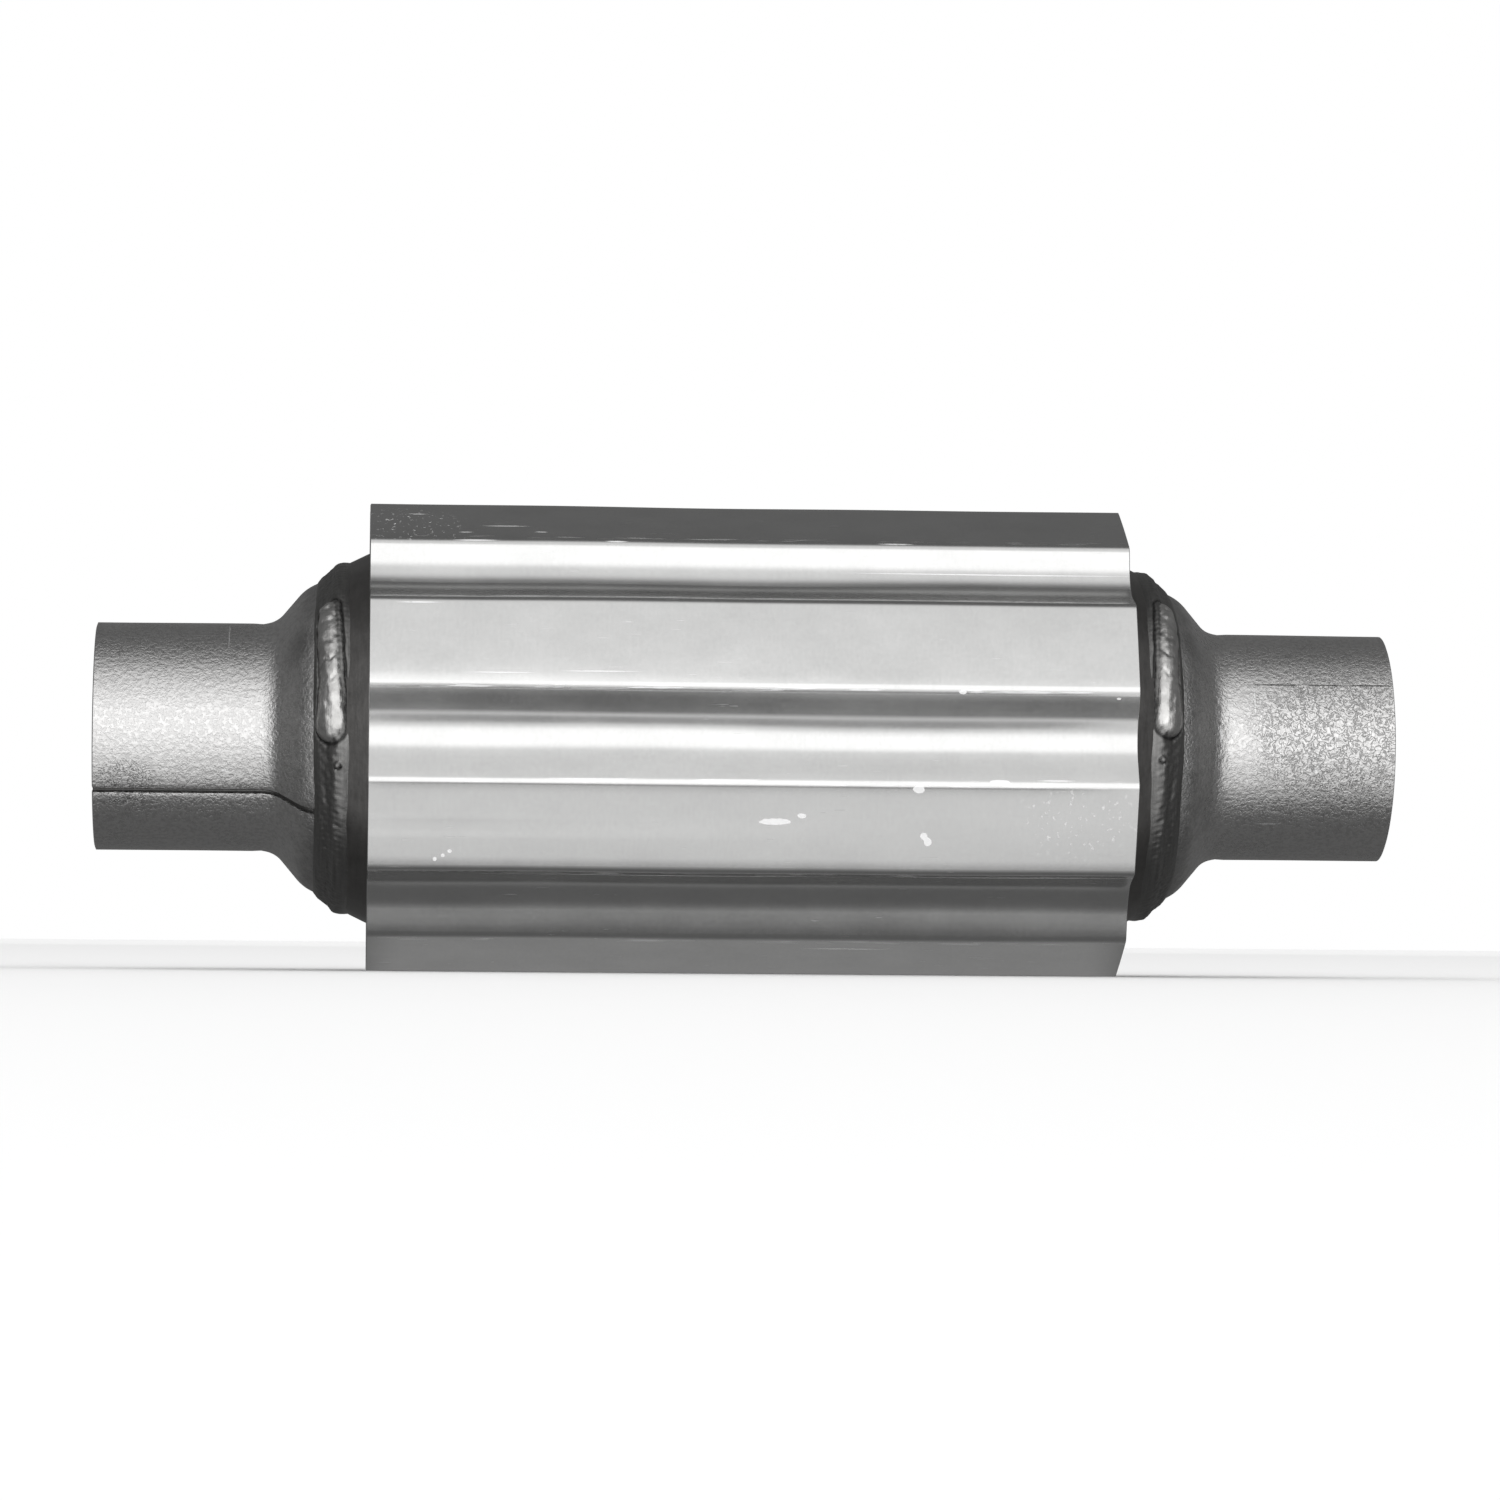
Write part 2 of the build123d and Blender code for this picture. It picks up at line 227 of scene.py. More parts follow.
class ConverterSettings(bpy.types.PropertyGroup):
    __annotations__ = {name: PointerProperty(type=group) for name, group in GROUPS.items()}


# Shapes


def smooth(low, high, value):
    """Rises from 0 at low to 1 at high as 3 t^2 - 2 t^3."""
    t = np.clip((value - low) / (high - low), 0.0, 1.0)
    return t * t * (3.0 - 2.0 * t)


def unit(vectors):
    return vectors / np.linalg.norm(vectors, axis=-1, keepdims=True)


def together(*parts):
    """Arrays of coordinates as one array of points."""
    return np.stack(np.broadcast_arrays(*parts), axis=-1)


def around(x, radius, clock):
    """Points at x along the axis, a radius and a clock angle c: (x, -r cos c, r sin c)."""
    return together(x, -radius * np.cos(clock), radius * np.sin(clock))


def spokes(angle):
    """The unit vectors outward and sideways at an angle in the plane of front and up."""
    out = np.array([cos(angle), sin(angle)])
    return out, np.array([-out[1], out[0]])


def bend(before, corner, after, radius, count):
    """Points of the arc that rounds a corner.

    With a and b the directions from the corner to its neighbours and 2h the angle between
    them, the centre is the corner + (a + b) r / (|a + b| sin h), and the arc sweeps pi - 2h.
    """
    a, b = unit(before - corner), unit(after - corner)
    half = np.arccos(np.clip(a @ b, -1.0, 1.0)) / 2
    centre = corner + unit(a + b) * radius / np.sin(half)
    spoke = unit(corner + a * radius / np.tan(half) - centre)
    turn = np.linspace(0.0, pi - 2 * half, count)[:, None]
    return centre + radius * (np.cos(turn) * spoke - np.sin(turn) * a)


def bent_path(corners, radii, counts, step):
    """A line through the corners with each inner one rounded, and no gap longer than a step."""
    corners = np.array(corners, float)
    rows = [corners[:1]]
    for i, (radius, count) in enumerate(zip(radii, counts), start=1):
        rows.append(bend(corners[i - 1], corners[i], corners[i + 1], radius, count))
    points = np.concatenate([*rows, corners[-1:]])
    lengths = np.linalg.norm(np.diff(points, axis=0), axis=1)
    parts = np.ceil(lengths / step - 1e-9).astype(int)
    travel = np.concatenate([[0.0], np.cumsum(lengths)])
    gap = np.repeat(np.arange(len(parts)), parts)
    share = (np.arange(parts.sum()) - (np.cumsum(parts) - parts)[gap]) / parts[gap]
    places = np.append(travel[gap] + share * lengths[gap], travel[-1])
    return np.column_stack([np.interp(places, travel, points[:, k]) for k in (0, 1)]), places


def near_ends(points, margin):
    """The line with one more point a margin inside each end."""
    first = points[0] + margin * unit(points[1] - points[0])
    last = points[-1] + margin * unit(points[-2] - points[-1])
    return np.concatenate([points[:1], [first], points[1:-1], [last], points[-1:]])


def left_normals(points):
    """Unit normals on the left of a line, from the difference of each point's neighbours."""
    along = unit(np.gradient(points, axis=0))
    return np.column_stack([-along[:, 1], along[:, 0]])


def edged(low, high, count, margin):
    """Even stations from low to high, with one more a margin inside each end."""
    inner = np.linspace(low + margin, high - margin, count)
    return np.concatenate([[low], inner, [high]])


def quads(index):
    """The four corner numbers of every cell of a grid of point numbers."""
    return together(index[:-1, :-1], index[:-1, 1:], index[1:, 1:], index[1:, :-1]).reshape(-1, 4)


def make_piece(name, points, faces, unrolled=None):
    """A smooth mesh object with its faces outward, its place in the mesh and edges over 50 degrees sharp."""
    corners = points[faces]
    middle = corners.mean(axis=1)
    area = np.cross(corners[:, 2] - corners[:, 0], corners[:, 3] - corners[:, 1])
    if (middle * area).sum() < 0:
        faces = faces[:, ::-1]
    mesh = bpy.data.meshes.new(name)
    mesh.from_pydata(points.tolist(), [], faces.tolist())
    if unrolled is not None:
        layer = mesh.uv_layers.new(name="unrolled")
        layer.data.foreach_set("uv", unrolled[faces.ravel()].astype(np.float32).ravel())
    mesh.polygons.foreach_set("use_smooth", np.ones(len(faces), bool))
    mesh.set_sharp_from_angle(angle=radians(50))
    piece = bpy.data.objects.new(name, mesh)
    bpy.context.scene.collection.objects.link(piece)
    return piece


def sheet_shape(outer, inner, unrolled, bulge):
    """Points, faces and unrolled places of a closed sheet, from the grids of its two faces.

    Its cut edges bulge outward by an amount.
    """
    rows, columns = outer.shape[:2]
    top = np.arange(rows * columns).reshape(rows, columns)
    under = top + rows * columns
    loop = np.concatenate([top[0], top[1:, -1], top[-1, -2::-1], top[-2::-1, 0]])
    away = np.zeros_like(outer)
    away[0] += unit(outer[0] - outer[1])
    away[-1] += unit(outer[-1] - outer[-2])
    away[:, 0] += unit(outer[:, 0] - outer[:, 1])
    away[:, -1] += unit(outer[:, -1] - outer[:, -2])
    flat_outer, flat_inner = outer.reshape(-1, 3), inner.reshape(-1, 3)
    border = loop[:-1]
    rim = (flat_outer[border] + flat_inner[border]) / 2 + bulge * unit(away.reshape(-1, 3)[border])
    rim_index = 2 * rows * columns + np.append(np.arange(len(border)), 0)
    strips = quads(np.stack([loop + rows * columns, rim_index, loop]))
    faces = np.concatenate([quads(top), quads(under)[:, ::-1], strips])
    flat = unrolled.reshape(-1, 2)
    return np.concatenate([flat_outer, flat_inner, rim]), faces, np.concatenate([flat, flat, flat[border]])


def place(piece, slot, finish, *nodes):
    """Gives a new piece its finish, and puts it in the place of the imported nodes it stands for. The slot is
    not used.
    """
    piece.data.materials.append(finish)
    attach(piece, "root")
    if nodes:
        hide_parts(*nodes)


# Heat shield


def shield_section(s):
    """The sheet's outer line in the plane of front and up, from the tail under the lap once round.

    Each rib is a groove of two walls and a root, then a flat panel. The tail lies one sheet and
    a hair under the last panel and steps up beside the lap's edge.
    """
    pitch = 2 * pi / s.ribs
    half = s.groove_angle / 2
    out, along = spokes(LAP_PANEL * pitch)
    panel = s.crest_radius * cos(pitch / 2 - half) * out
    under = (s.sheet + HAIR) * out
    edge, step = s.lap / 2, 3 * MM
    corners = [
        panel - under - along * edge,
        panel - under + along * (edge + HAIR),
        panel + along * (edge + step),
    ]
    radii, counts = [1.2 * MM, 2.2 * MM], [4, 4]
    chord = s.crest_radius * sin(half)
    root = chord - s.groove_depth / tan(s.wall_slope)
    for rib in range(s.ribs):
        middle = (LAP_PANEL + 0.5 + rib) * pitch
        outward, sideways = spokes(middle)
        floor = (s.crest_radius * cos(half) - s.groove_depth) * outward
        short = s.short_fold if rib == SHORT_RIB else 0.0
        corners += [
            s.crest_radius * spokes(middle - half)[0],
            floor - sideways * root,
            floor + sideways * root,
            s.crest_radius * spokes(middle + half - short)[0],
        ]
        radii += [s.fold_bend, s.root_bend, s.root_bend, s.fold_bend]
        counts += [7, 8, 8, 7]
    corners.append(panel + along * edge)
    return bent_path(corners, radii, counts, 2.6 * MM)


def shield_lift(s, across, along, pitch):
    """How far the real sheet stands off its ideal folds.

    Slow waves are a sum of sines of both directions. Each panel is crowned by 1 - (d / w)^2 over its
    half width w, and each groove's walls rise and sink in turn by sin(2 pi g) along their length.
    The front's upper fold drops by exp(-distance / w) towards the inlet.
    """
    waves = ((11.0, 17.0, 0.4), (29.0, 41.0, 2.1), (17.0, 83.0, 4.0), (61.0, 23.0, 5.2))
    slow = s.waviness * sum(np.sin(u * across + v * along + p) for u, v, p in waves) / 2
    rib = np.floor(across / pitch + 0.5)
    share = across / pitch - rib
    half = 0.5 * (1 - s.groove_angle * s.ribs / (2 * pi))
    crown = s.crown * np.maximum(1 - ((0.5 - np.abs(share)) / half) ** 2, 0.0)
    in_groove = np.maximum(1 - (share / (0.5 - half)) ** 2, 0.0)
    twist = np.sin(27 * along + 2.3 * rib) + 0.6 * np.sin(61 * along + 1.1 * rib**2)
    wall = s.twist * twist * in_groove * np.sin(2 * pi * share / (1 - 2 * half))
    over = np.maximum(across / pitch - (0.5 - half), 0.0) * pitch
    fade, roll_start, roll_end = 4.0 * MM, 40 * MM, -90 * MM
    roll = s.rolled_fold * np.exp(-over / fade) * smooth(roll_start, roll_end, along) * (rib == 0)
    return slow + crown + wall - roll


def spot_dimple(s, across, along, pitch):
    """Hollows round the spot welds in both layers of the lap: -d exp(-(u^2 + v^2) / w^2) from the nearest."""
    aside = np.minimum(np.abs(across - LAP_PANEL * pitch), np.abs(across + (s.ribs - LAP_PANEL) * pitch))
    reach = s.length / 2 - s.spot_margin
    step = 2 * reach / (s.spots - 1)
    away = (along + reach + step / 2) % step - step / 2
    width = 1.7 * s.spot_radius
    return -s.spot_dimple * np.exp(-(aside**2 + away**2) / width**2)


def shield_places(s):
    """The section's line, its points' distance round from the front, and the pitch and first fold there."""
    line, travel = shield_section(s)
    clock = np.unwrap(np.arctan2(line[:, 1], line[:, 0])) - 2 * pi
    front, fold, pitch = np.interp((0.0, s.groove_angle / 2, 2 * pi / s.ribs), clock, travel)
    return line, travel - front, pitch - front, fold - front


def in_place(along, section):
    """Points of the plane of front and up, at distances along the axis."""
    return together(along, -section[..., 0], section[..., 1])


def build_heat_shield(settings):
    s = settings.shield
    line, across, pitch, fold = shield_places(s)
    normal = -left_normals(line)
    stations = edged(-s.length / 2, s.length / 2, 118, 0.4 * MM)
    across, along = np.broadcast_arrays(across[None, :], stations[:, None])
    lift = shield_lift(s, across, along, pitch) + spot_dimple(s, across, along, pitch)
    outer = line + normal * lift[..., None]
    inner = outer - s.sheet * normal
    shape = sheet_shape(in_place(along, outer), in_place(along, inner), together(across, along), s.sheet / 4)
    piece = make_piece("ribbed_heat_shield", *shape)
    place(piece, "shield_steel", shield_finish(s, pitch, fold), "heat_shield")


def build_spot_marks(s, finish):
    """A pressed ring round a shallow dish on each spot weld, riding on the lap's outer sheet.

    A square grid (a, b) becomes a disc at (a sqrt(1 - b^2 / 2), b sqrt(1 - a^2 / 2)), and the ring is
    exp(-((r - 0.8) / 0.16)^2) high.
    """
    pitch = shield_places(s)[2]
    out, sideways = spokes(LAP_PANEL * 2 * pi / s.ribs)
    panel = s.crest_radius * cos(pi / s.ribs - s.groove_angle / 2)
    a, b = np.meshgrid(np.linspace(-1, 1, 17), np.linspace(-1, 1, 17), indexing="ij")
    aside, along = a * np.sqrt(1 - b**2 / 2), b * np.sqrt(1 - a**2 / 2)
    ring = np.exp(-(((np.hypot(aside, along) - 0.8) / 0.16) ** 2))
    aside, along = s.spot_radius * aside, s.spot_radius * along
    proud, ring_height, thickness = 0.08 * MM, 0.14 * MM, 0.6 * MM
    height = panel - s.spot_dimple + proud + ring_height * ring
    outer = height[..., None] * out + aside[..., None] * sideways
    flat = together(aside, along)
    inner = outer - thickness * out
    points, faces, flat = sheet_shape(in_place(along, outer), in_place(along, inner), flat, 0.02 * MM)
    reach = s.length / 2 - s.spot_margin
    station = np.linspace(-reach, reach, s.spots)
    lift = shield_lift(s, LAP_PANEL * pitch, station, pitch)
    points = points + in_place(station, lift[:, None] * out)[:, None, :]
    faces = faces + points.shape[1] * np.arange(s.spots)[:, None, None]
    flat = np.tile(flat, (s.spots, 1))
    piece = make_piece("spot_weld_marks", points.reshape(-1, 3), faces.reshape(-1, 4), flat)
    place(piece, "weld_metal", finish, "shield_spot_welds")


# Necks and shell


def sweep(name, line, inside, lifts, clock, mirror, bulge):
    """A closed sheet between two profiles of points (x, r), each lifted and carried round the clock angles.

    It is unrolled at its least radius, and a mirrored one has its x turned round.
    """
    sign = -1.0 if mirror else 1.0
    outer = around(sign * line[:, 0], line[:, 1] + lifts[0], clock)
    inner = around(sign * inside[:, 0], inside[:, 1] + lifts[1], clock)
    unrolled = together(clock * line[:, 1].min(), sign * line[:, 0])
    return make_piece(name, *sheet_shape(outer, inner, unrolled, bulge))


def rolled_sheet(name, line, wall, seam_clock, seam, mirror, ripple):
    """A sheet rolled round the axis and open by a narrow seam.

    Both edges of the seam roll in by d exp(-distance / w).
    """
    radius = line[:, 1].min()
    gap = seam / radius
    clock = edged(seam_clock + gap / 2, seam_clock + 2 * pi - gap / 2, 200, 0.35 * gap)[:, None]
    from_seam = np.minimum(clock - clock[0], clock[-1] - clock) * radius
    roll, reach = 0.18 * MM, 0.45 * MM
    lift = ripple(line[None, :, 0], clock) - roll * np.exp(-from_seam / reach)
    inside = line - wall * left_normals(line)
    return sweep(name, line, inside, (lift, lift), clock, mirror, 0.18 * wall)


def seam_run(name, line, wall, seam_clock, seam, mirror, crown, edge):
    """The weld that fills a seam: its face lies crown - (crown - edge) |t|^3 over the sheet's profile.

    t goes from -1 to 1 across the seam, so a weld with a low edge has a dark crevice on both sides.
    """
    t = np.linspace(-1, 1, 11)[:, None]
    clock = seam_clock + t * seam / (2 * line[:, 1].min())
    inside = line - 0.9 * wall * left_normals(line)
    face = crown - (crown - edge) * np.abs(t) ** 3
    return sweep(name, line, inside, (face, 0.0), clock, mirror, 0.05 * MM)


def lap_radius(shell, x):
    """The neck's outer radius where it lies under the shell's mouth: a line at the shoulder's slope."""
    drop = (shell.wall + HAIR / 2) / cos(shell.shoulder)
    return shell.mouth - drop + tan(shell.shoulder) * (x - SHELL_BOX[0].x)


def neck_line(settings):
    """The inlet neck's outer profile: pipe, flare and the lap under the shell."""
    start, end = CAD_BOX[0][0], NECK_BOX[1].x
    bare_lap, flare = 7 * MM, radians(50)
    brow_x = SHELL_BOX[0].x - bare_lap
    brow = lap_radius(settings.shell, brow_x)
    radius = settings.necks.radius
    corners = [
        (start, radius),
        (brow_x - (brow - radius) / tan(flare), radius),
        (brow_x, brow),
        (end, lap_radius(settings.shell, end)),
    ]
    return near_ends(bent_path(corners, [7 * MM, 12 * MM], [9, 9], 2.5 * MM)[0], 0.4 * MM)


def build_necks(settings):
    s = settings.necks
    finish = neck_finish(s)
    line = neck_line(settings)
    ring_place, ring_width, oval_reach = 43.6 * MM, 0.8 * MM, 50 * MM

    def die_marks(x, clock):
        x_in = x - CAD_BOX[0][0]
        ring = -0.14 * MM * np.exp(-(((x_in - ring_place) / ring_width) ** 2))
        oval = 0.12 * MM * np.sin(2 * clock + 0.7) * smooth(oval_reach, 0.0, x_in)
        return ring + oval + 0.04 * MM * np.sin(5 * clock + 90 * x)

    for end, seam, mirror in (("inlet", s.inlet_seam, False), ("outlet", s.outlet_seam, True)):
        piece = rolled_sheet(f"flared_{end}_neck", line, s.wall, seam, s.seam, mirror, die_marks)
        place(piece, "neck_steel", finish, f"{end}_neck")


def shell_line(s):
    """The body's outer profile: a straight barrel between its two pressed-down shoulders."""
    mouth_x = SHELL_BOX[0].x
    straight = mouth_x + (s.radius - s.mouth) / tan(s.shoulder)
    corners = [(mouth_x, s.mouth), (straight, s.radius), (-straight, s.radius), (-mouth_x, s.mouth)]
    return near_ends(bent_path(corners, [12 * MM, 12 * MM], [6, 6], 6 * MM)[0], 0.4 * MM)


def build_shell(settings):
    s = settings.shell

    def pressing(x, clock):
        end = smooth(85 * MM, 100 * MM, np.abs(x))
        return end * 0.12 * MM * (np.sin(9 * clock) + np.sin(23 * clock + 1.0) / 2)

    piece = rolled_sheet("pressed_body_shell", shell_line(s), s.wall, s.seam_clock, s.seam, False, pressing)
    place(piece, "shell_steel", shell_finish(s), "body_shell")


# Girth welds

# Creases across the raised stretch: (place along it from 0 to 1, depth in millimetres, width along it)
CREASES = ((0.34, 0.22, 0.02), (0.50, 0.3, 0.016), (0.66, 0.16, 0.03), (0.84, 0.22, 0.03))


def lumps(travel, across):
    """Uneven weld metal between -1 and 1: a sum of slanting sines."""
    waves = ((700, 1500, 0.2), (1300, -800, 1.7), (400, 2600, 4.1), (2100, 1900, 2.9))
    return sum(np.sin(u * travel + v * across + p) for u, v, p in waves) / 4


def low_bead(s, across, travel, clock):
    """Height of the low bead over the shoulder at a distance across it and round it.

    It is 1 - |t|^2.6 high between its toes, on a step down to the neck, with curved ripples
    sin(2 pi (travel + k across^2) / pitch), lumps and one ball of spatter.
    """
    wander = sum(np.sin(k * clock + p) / k for k, p in ((3, 0.3), (7, 1.9), (13, 4.2), (29, 0.8), (47, 2.2)))
    toe = s.width / 2 * (1 + 0.08 * wander)
    share = np.clip(np.abs(across + s.offset + 0.35 * MM * wander) / toe, 0.0, 1.2)
    step = -1.25 * MM * (1 - smooth(-2.5 * MM, 1.5 * MM, across))
    curve = travel + 70.0 * across**2
    ripple = np.sin(2 * pi * curve / s.ripple) + 0.4 * np.sin(2 * pi * curve / (2.7 * s.ripple) + wander)
    crown = (s.height + 0.12 * MM * wander) * (1 - share**2.6)
    rough = 0.08 * MM * ripple + 0.20 * MM * lumps(travel, across)
    away, aside = travel - s.spatter_place[0], across - s.spatter_place[1]
    ball = np.maximum(1 - (away**2 + aside**2) / s.spatter**2, 0.0)
    return step + crown + rough * (1 - np.minimum(share, 1.0) ** 2) + 0.9 * s.spatter * np.sqrt(ball)


def bead_height(s, across, travel, clock):
    """Height of the whole weld, and where its raised stretch shows: 1 on it, and -1 in the crevice round it,
    where the finish paints shade.

    The raised stretch is 1 - e^2.6 high, with e the distance from its middle line and past its ends
    over its half width, less a few slanting creases and the crater at its end.
    """
    first, last = s.closing_from * BEAD_RADIUS, s.closing_to * BEAD_RADIUS
    past = np.maximum(first - travel, 0.0) + np.maximum(travel - last, 0.0)
    run = np.clip((travel - first) / (last - first), 0.0, 1.0)
    width = s.closing_width * (1.08 - 0.24 * run + 0.04 * np.sin(9 * run + 1.0) + 0.02 * np.sin(31 * run))
    aside = across + s.offset - 0.5 * MM * np.sin(5 * run + 0.4)
    share = np.hypot(aside, past) / (width / 2)
    raised = s.closing_height * (1 - np.minimum(share, 1.0) ** 2.6) - 0.35 * MM * run
    slant = run - 13.0 * aside + 0.012 * np.sin(1900 * aside)
    for middle, depth, length in CREASES:
        raised = raised - depth * MM * np.exp(-(((slant - middle) / length) ** 2))
    chevron = travel + 60.0 * aside**2
    lines = np.sin(2 * pi * chevron / (1.35 * s.ripple)) + 0.5 * np.sin(2 * pi * chevron / (0.6 * s.ripple))
    raised = raised + 0.03 * MM * lines * smooth(0.3, 0.6, run) + 0.10 * MM * lumps(travel, across)
    from_crater = np.hypot(aside, travel - last)
    raised = raised - s.crater * np.exp(-((from_crater / (1.4 * MM)) ** 2))
    crevice = np.exp(-(((share - 1.08) / 0.10) ** 2))
    low = low_bead(s, across, travel, clock) - s.crevice * crevice
    raised = np.where(share < 1.0, raised, -3.0 * MM)
    # The crevice's -1 darkens the weld's colour there: painted shade.
    return np.maximum(low, raised), smooth(0.0, 0.3 * MM, raised - low) - crevice * (share > 1.0)


def bead_section(s):
    """Distances across the shoulder over a bead's face and back below it, and its underside's heights."""
    shell_side = 4.9 * MM
    neck_side = -shell_side - 2 * s.offset
    face = np.linspace(neck_side, shell_side, 49)[None, :]
    below = np.linspace(shell_side, neck_side, 7)[None, :]
    return face, below, np.where(below < 0, -2.2 * MM, -0.9 * MM)


def build_girth_welds(settings):
    """Each bead is carried round the mouth: its height over the shoulder is a function of both directions."""
    s, shell = settings.welds, settings.shell
    finish = weld_finish(s)
    run, rise = cos(shell.shoulder), sin(shell.shoulder)
    seat = 1.0 * MM
    clock = np.linspace(-pi, pi, 640, endpoint=False)[:, None]
    face, below, depth = bead_section(s)
    height, raised = bead_height(s, face, clock * BEAD_RADIUS, clock)
    across = np.concatenate([face, below], axis=1) + 0 * clock
    height = np.concatenate([height, depth + 0 * clock], axis=1)
    raised = np.concatenate([raised, 0 * (below + clock)], axis=1)
    x = SHELL_BOX[0].x + seat + across * run - height * rise
    radius = shell.mouth + seat * tan(shell.shoulder) + across * rise + height * run
    index = np.pad(np.arange(x.size).reshape(x.shape), (0, 1), mode="wrap")
    unrolled = together(BEAD_RADIUS * clock, across).reshape(-1, 2)
    for end, sign, turn in (("inlet", 1.0, 0.0), ("outlet", -1.0, s.outlet_turn)):
        points = around(sign * x, radius, clock + turn).reshape(-1, 3)
        piece = make_piece(f"{end}_girth_bead", points, quads(index), unrolled)
        # The raised attribute is 1 on the raised stretch and -1 in the crevice round it, which the finish
        # darkens as painted shade.
        layer = piece.data.attributes.new("raised", "FLOAT", "POINT")
        layer.data.foreach_set("value", raised.ravel().astype(np.float32))
        place(piece, "weld_metal", finish, f"{end}_girth_weld")


# Honeycomb bricks


def outer_walls(number):
    """Walls from face to face along the sides that no neighbouring cell shares."""
    start, end = number[:, 0], number[:, -1]
    sides = together(start[:, :-1], start[:, 1:], end[:, 1:], end[:, :-1]).reshape(-1, 4)
    pairs = np.sort(sides[:, :2], axis=1)
    _, first, uses = np.unique(pairs, axis=0, return_index=True, return_counts=True)
    return sides[first[uses == 1]]


def honeycomb(s, radius, start, end):
    """Square channels from face to face: four walls each, and the webs round both openings.

    Neighbouring cells share their outer corners, and walls close the outermost cells' outer sides.
    """
    count = int(radius // s.pitch)
    steps = np.arange(-count, count + 1) * s.pitch
    middle = np.stack(np.meshgrid(steps, steps), axis=-1).reshape(-1, 2)
    reach = np.hypot(*(np.abs(middle) + s.pitch / 2).T)
    middle = middle[reach < radius - s.skin]
    square = np.array([(-1, -1), (1, -1), (1, 1), (-1, 1)]) / 2
    opening = s.pitch - s.web
    loops = []
    for x, size in ((start, s.pitch), (start, opening), (end, opening), (end, s.pitch)):
        flat = middle[:, None, :] + square[None] * size
        loops.append(together(x, flat[..., 0], flat[..., 1]))
    points = np.stack(loops, axis=1)
    whole = np.round(points.reshape(-1, 3) / SAME_PLACE).astype(np.int64)
    _, kept, number = np.unique(whole, axis=0, return_index=True, return_inverse=True)
    number = number.reshape(points.shape[:3])
    number = np.concatenate([number, number[:, :, :1]], axis=2)
    faces = together(number[:, 1:, :-1], number[:, 1:, 1:], number[:, :-1, 1:], number[:, :-1, :-1])
    faces = np.concatenate([faces.reshape(-1, 4), outer_walls(number)])
    return points.reshape(-1, 3)[kept], faces


def brick_skin(s, radius, start, end):
    """The skin: a closed band from the outermost cells to the brick's side."""
    sides = 120
    inner = radius - s.skin - 1.3 * s.pitch
    low, high = start + s.set_back, end - s.set_back
    clock = np.linspace(0, 2 * pi, sides, endpoint=False)[:, None]
    points = around(np.array([low, low, high, high]), np.array([inner, radius, radius, inner]), clock)
    index = np.pad(np.arange(4 * sides).reshape(sides, 4), (0, 1), mode="wrap")
    return points.reshape(-1, 3), quads(index)


def build_bricks(settings):
    s = settings.bricks
    finish = ceramic_finish(s)
    for name in ("front_brick", "rear_brick"):
        low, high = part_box(name)
        radius = high.z
        cells, cell_faces = honeycomb(s, radius, low.x, high.x)
        skin, skin_faces = brick_skin(s, radius, low.x, high.x)
        points = np.concatenate([cells, skin])
        faces = np.concatenate([cell_faces, skin_faces + len(cells)])
        piece = make_piece(f"{name}_honeycomb", points, faces)
        place(piece, "honeycomb_ceramic", finish, name)


# Finishes


class Wire:
    """An output socket. Arithmetic on it adds Math nodes to its material."""

    def __init__(self, finish, socket):
        self.finish = finish
        self.socket = socket

    def math(self, operation, *values):
        return self.finish.node("ShaderNodeMath", {"operation": operation}, dict(enumerate(values)))

    def __add__(self, other):
        return self.math("ADD", self, other)

    def __radd__(self, other):
        return self.math("ADD", other, self)

    def __sub__(self, other):
        return self.math("SUBTRACT", self, other)

    def __rsub__(self, other):
        return self.math("SUBTRACT", other, self)

    def __mul__(self, other):
        return self.math("MULTIPLY", self, other)

    def __rmul__(self, other):
        return self.math("MULTIPLY", other, self)

    def max(self, other):
        return self.math("MAXIMUM", self, other)

    def min(self, other):
        return self.math("MINIMUM", self, other)

    def abs(self):
        return self.math("ABSOLUTE", self)

    def root(self):
        return self.math("SQRT", self)

    def away_from_multiples(self, step):
        """Distance to the nearest multiple of a step."""
        return self.math("PINGPONG", self, step / 2)

    def angle_to(self, other):
        """The angle whose tangent is this value over the other."""
        return self.math("ARCTAN2", self, other)


class Nodes:
    """A node tree under construction."""

    def __init__(self, tree):
        self.tree = tree

    def node(self, kind, settings=None, values=None, output=0):
        """Adds a node, sets it up, fills or links its sockets and gives one of its outputs."""
        node = self.tree.nodes.new(kind)
        for key, value in (settings or {}).items():
            setattr(node, key, value)
        for key, value in (values or {}).items():
            self.feed(node.inputs[key], value)
        return Wire(self, node.outputs[output])

    def feed(self, socket, value):
        if isinstance(value, Wire):
            self.tree.links.new(value.socket, socket)
        else:
            socket.default_value = value


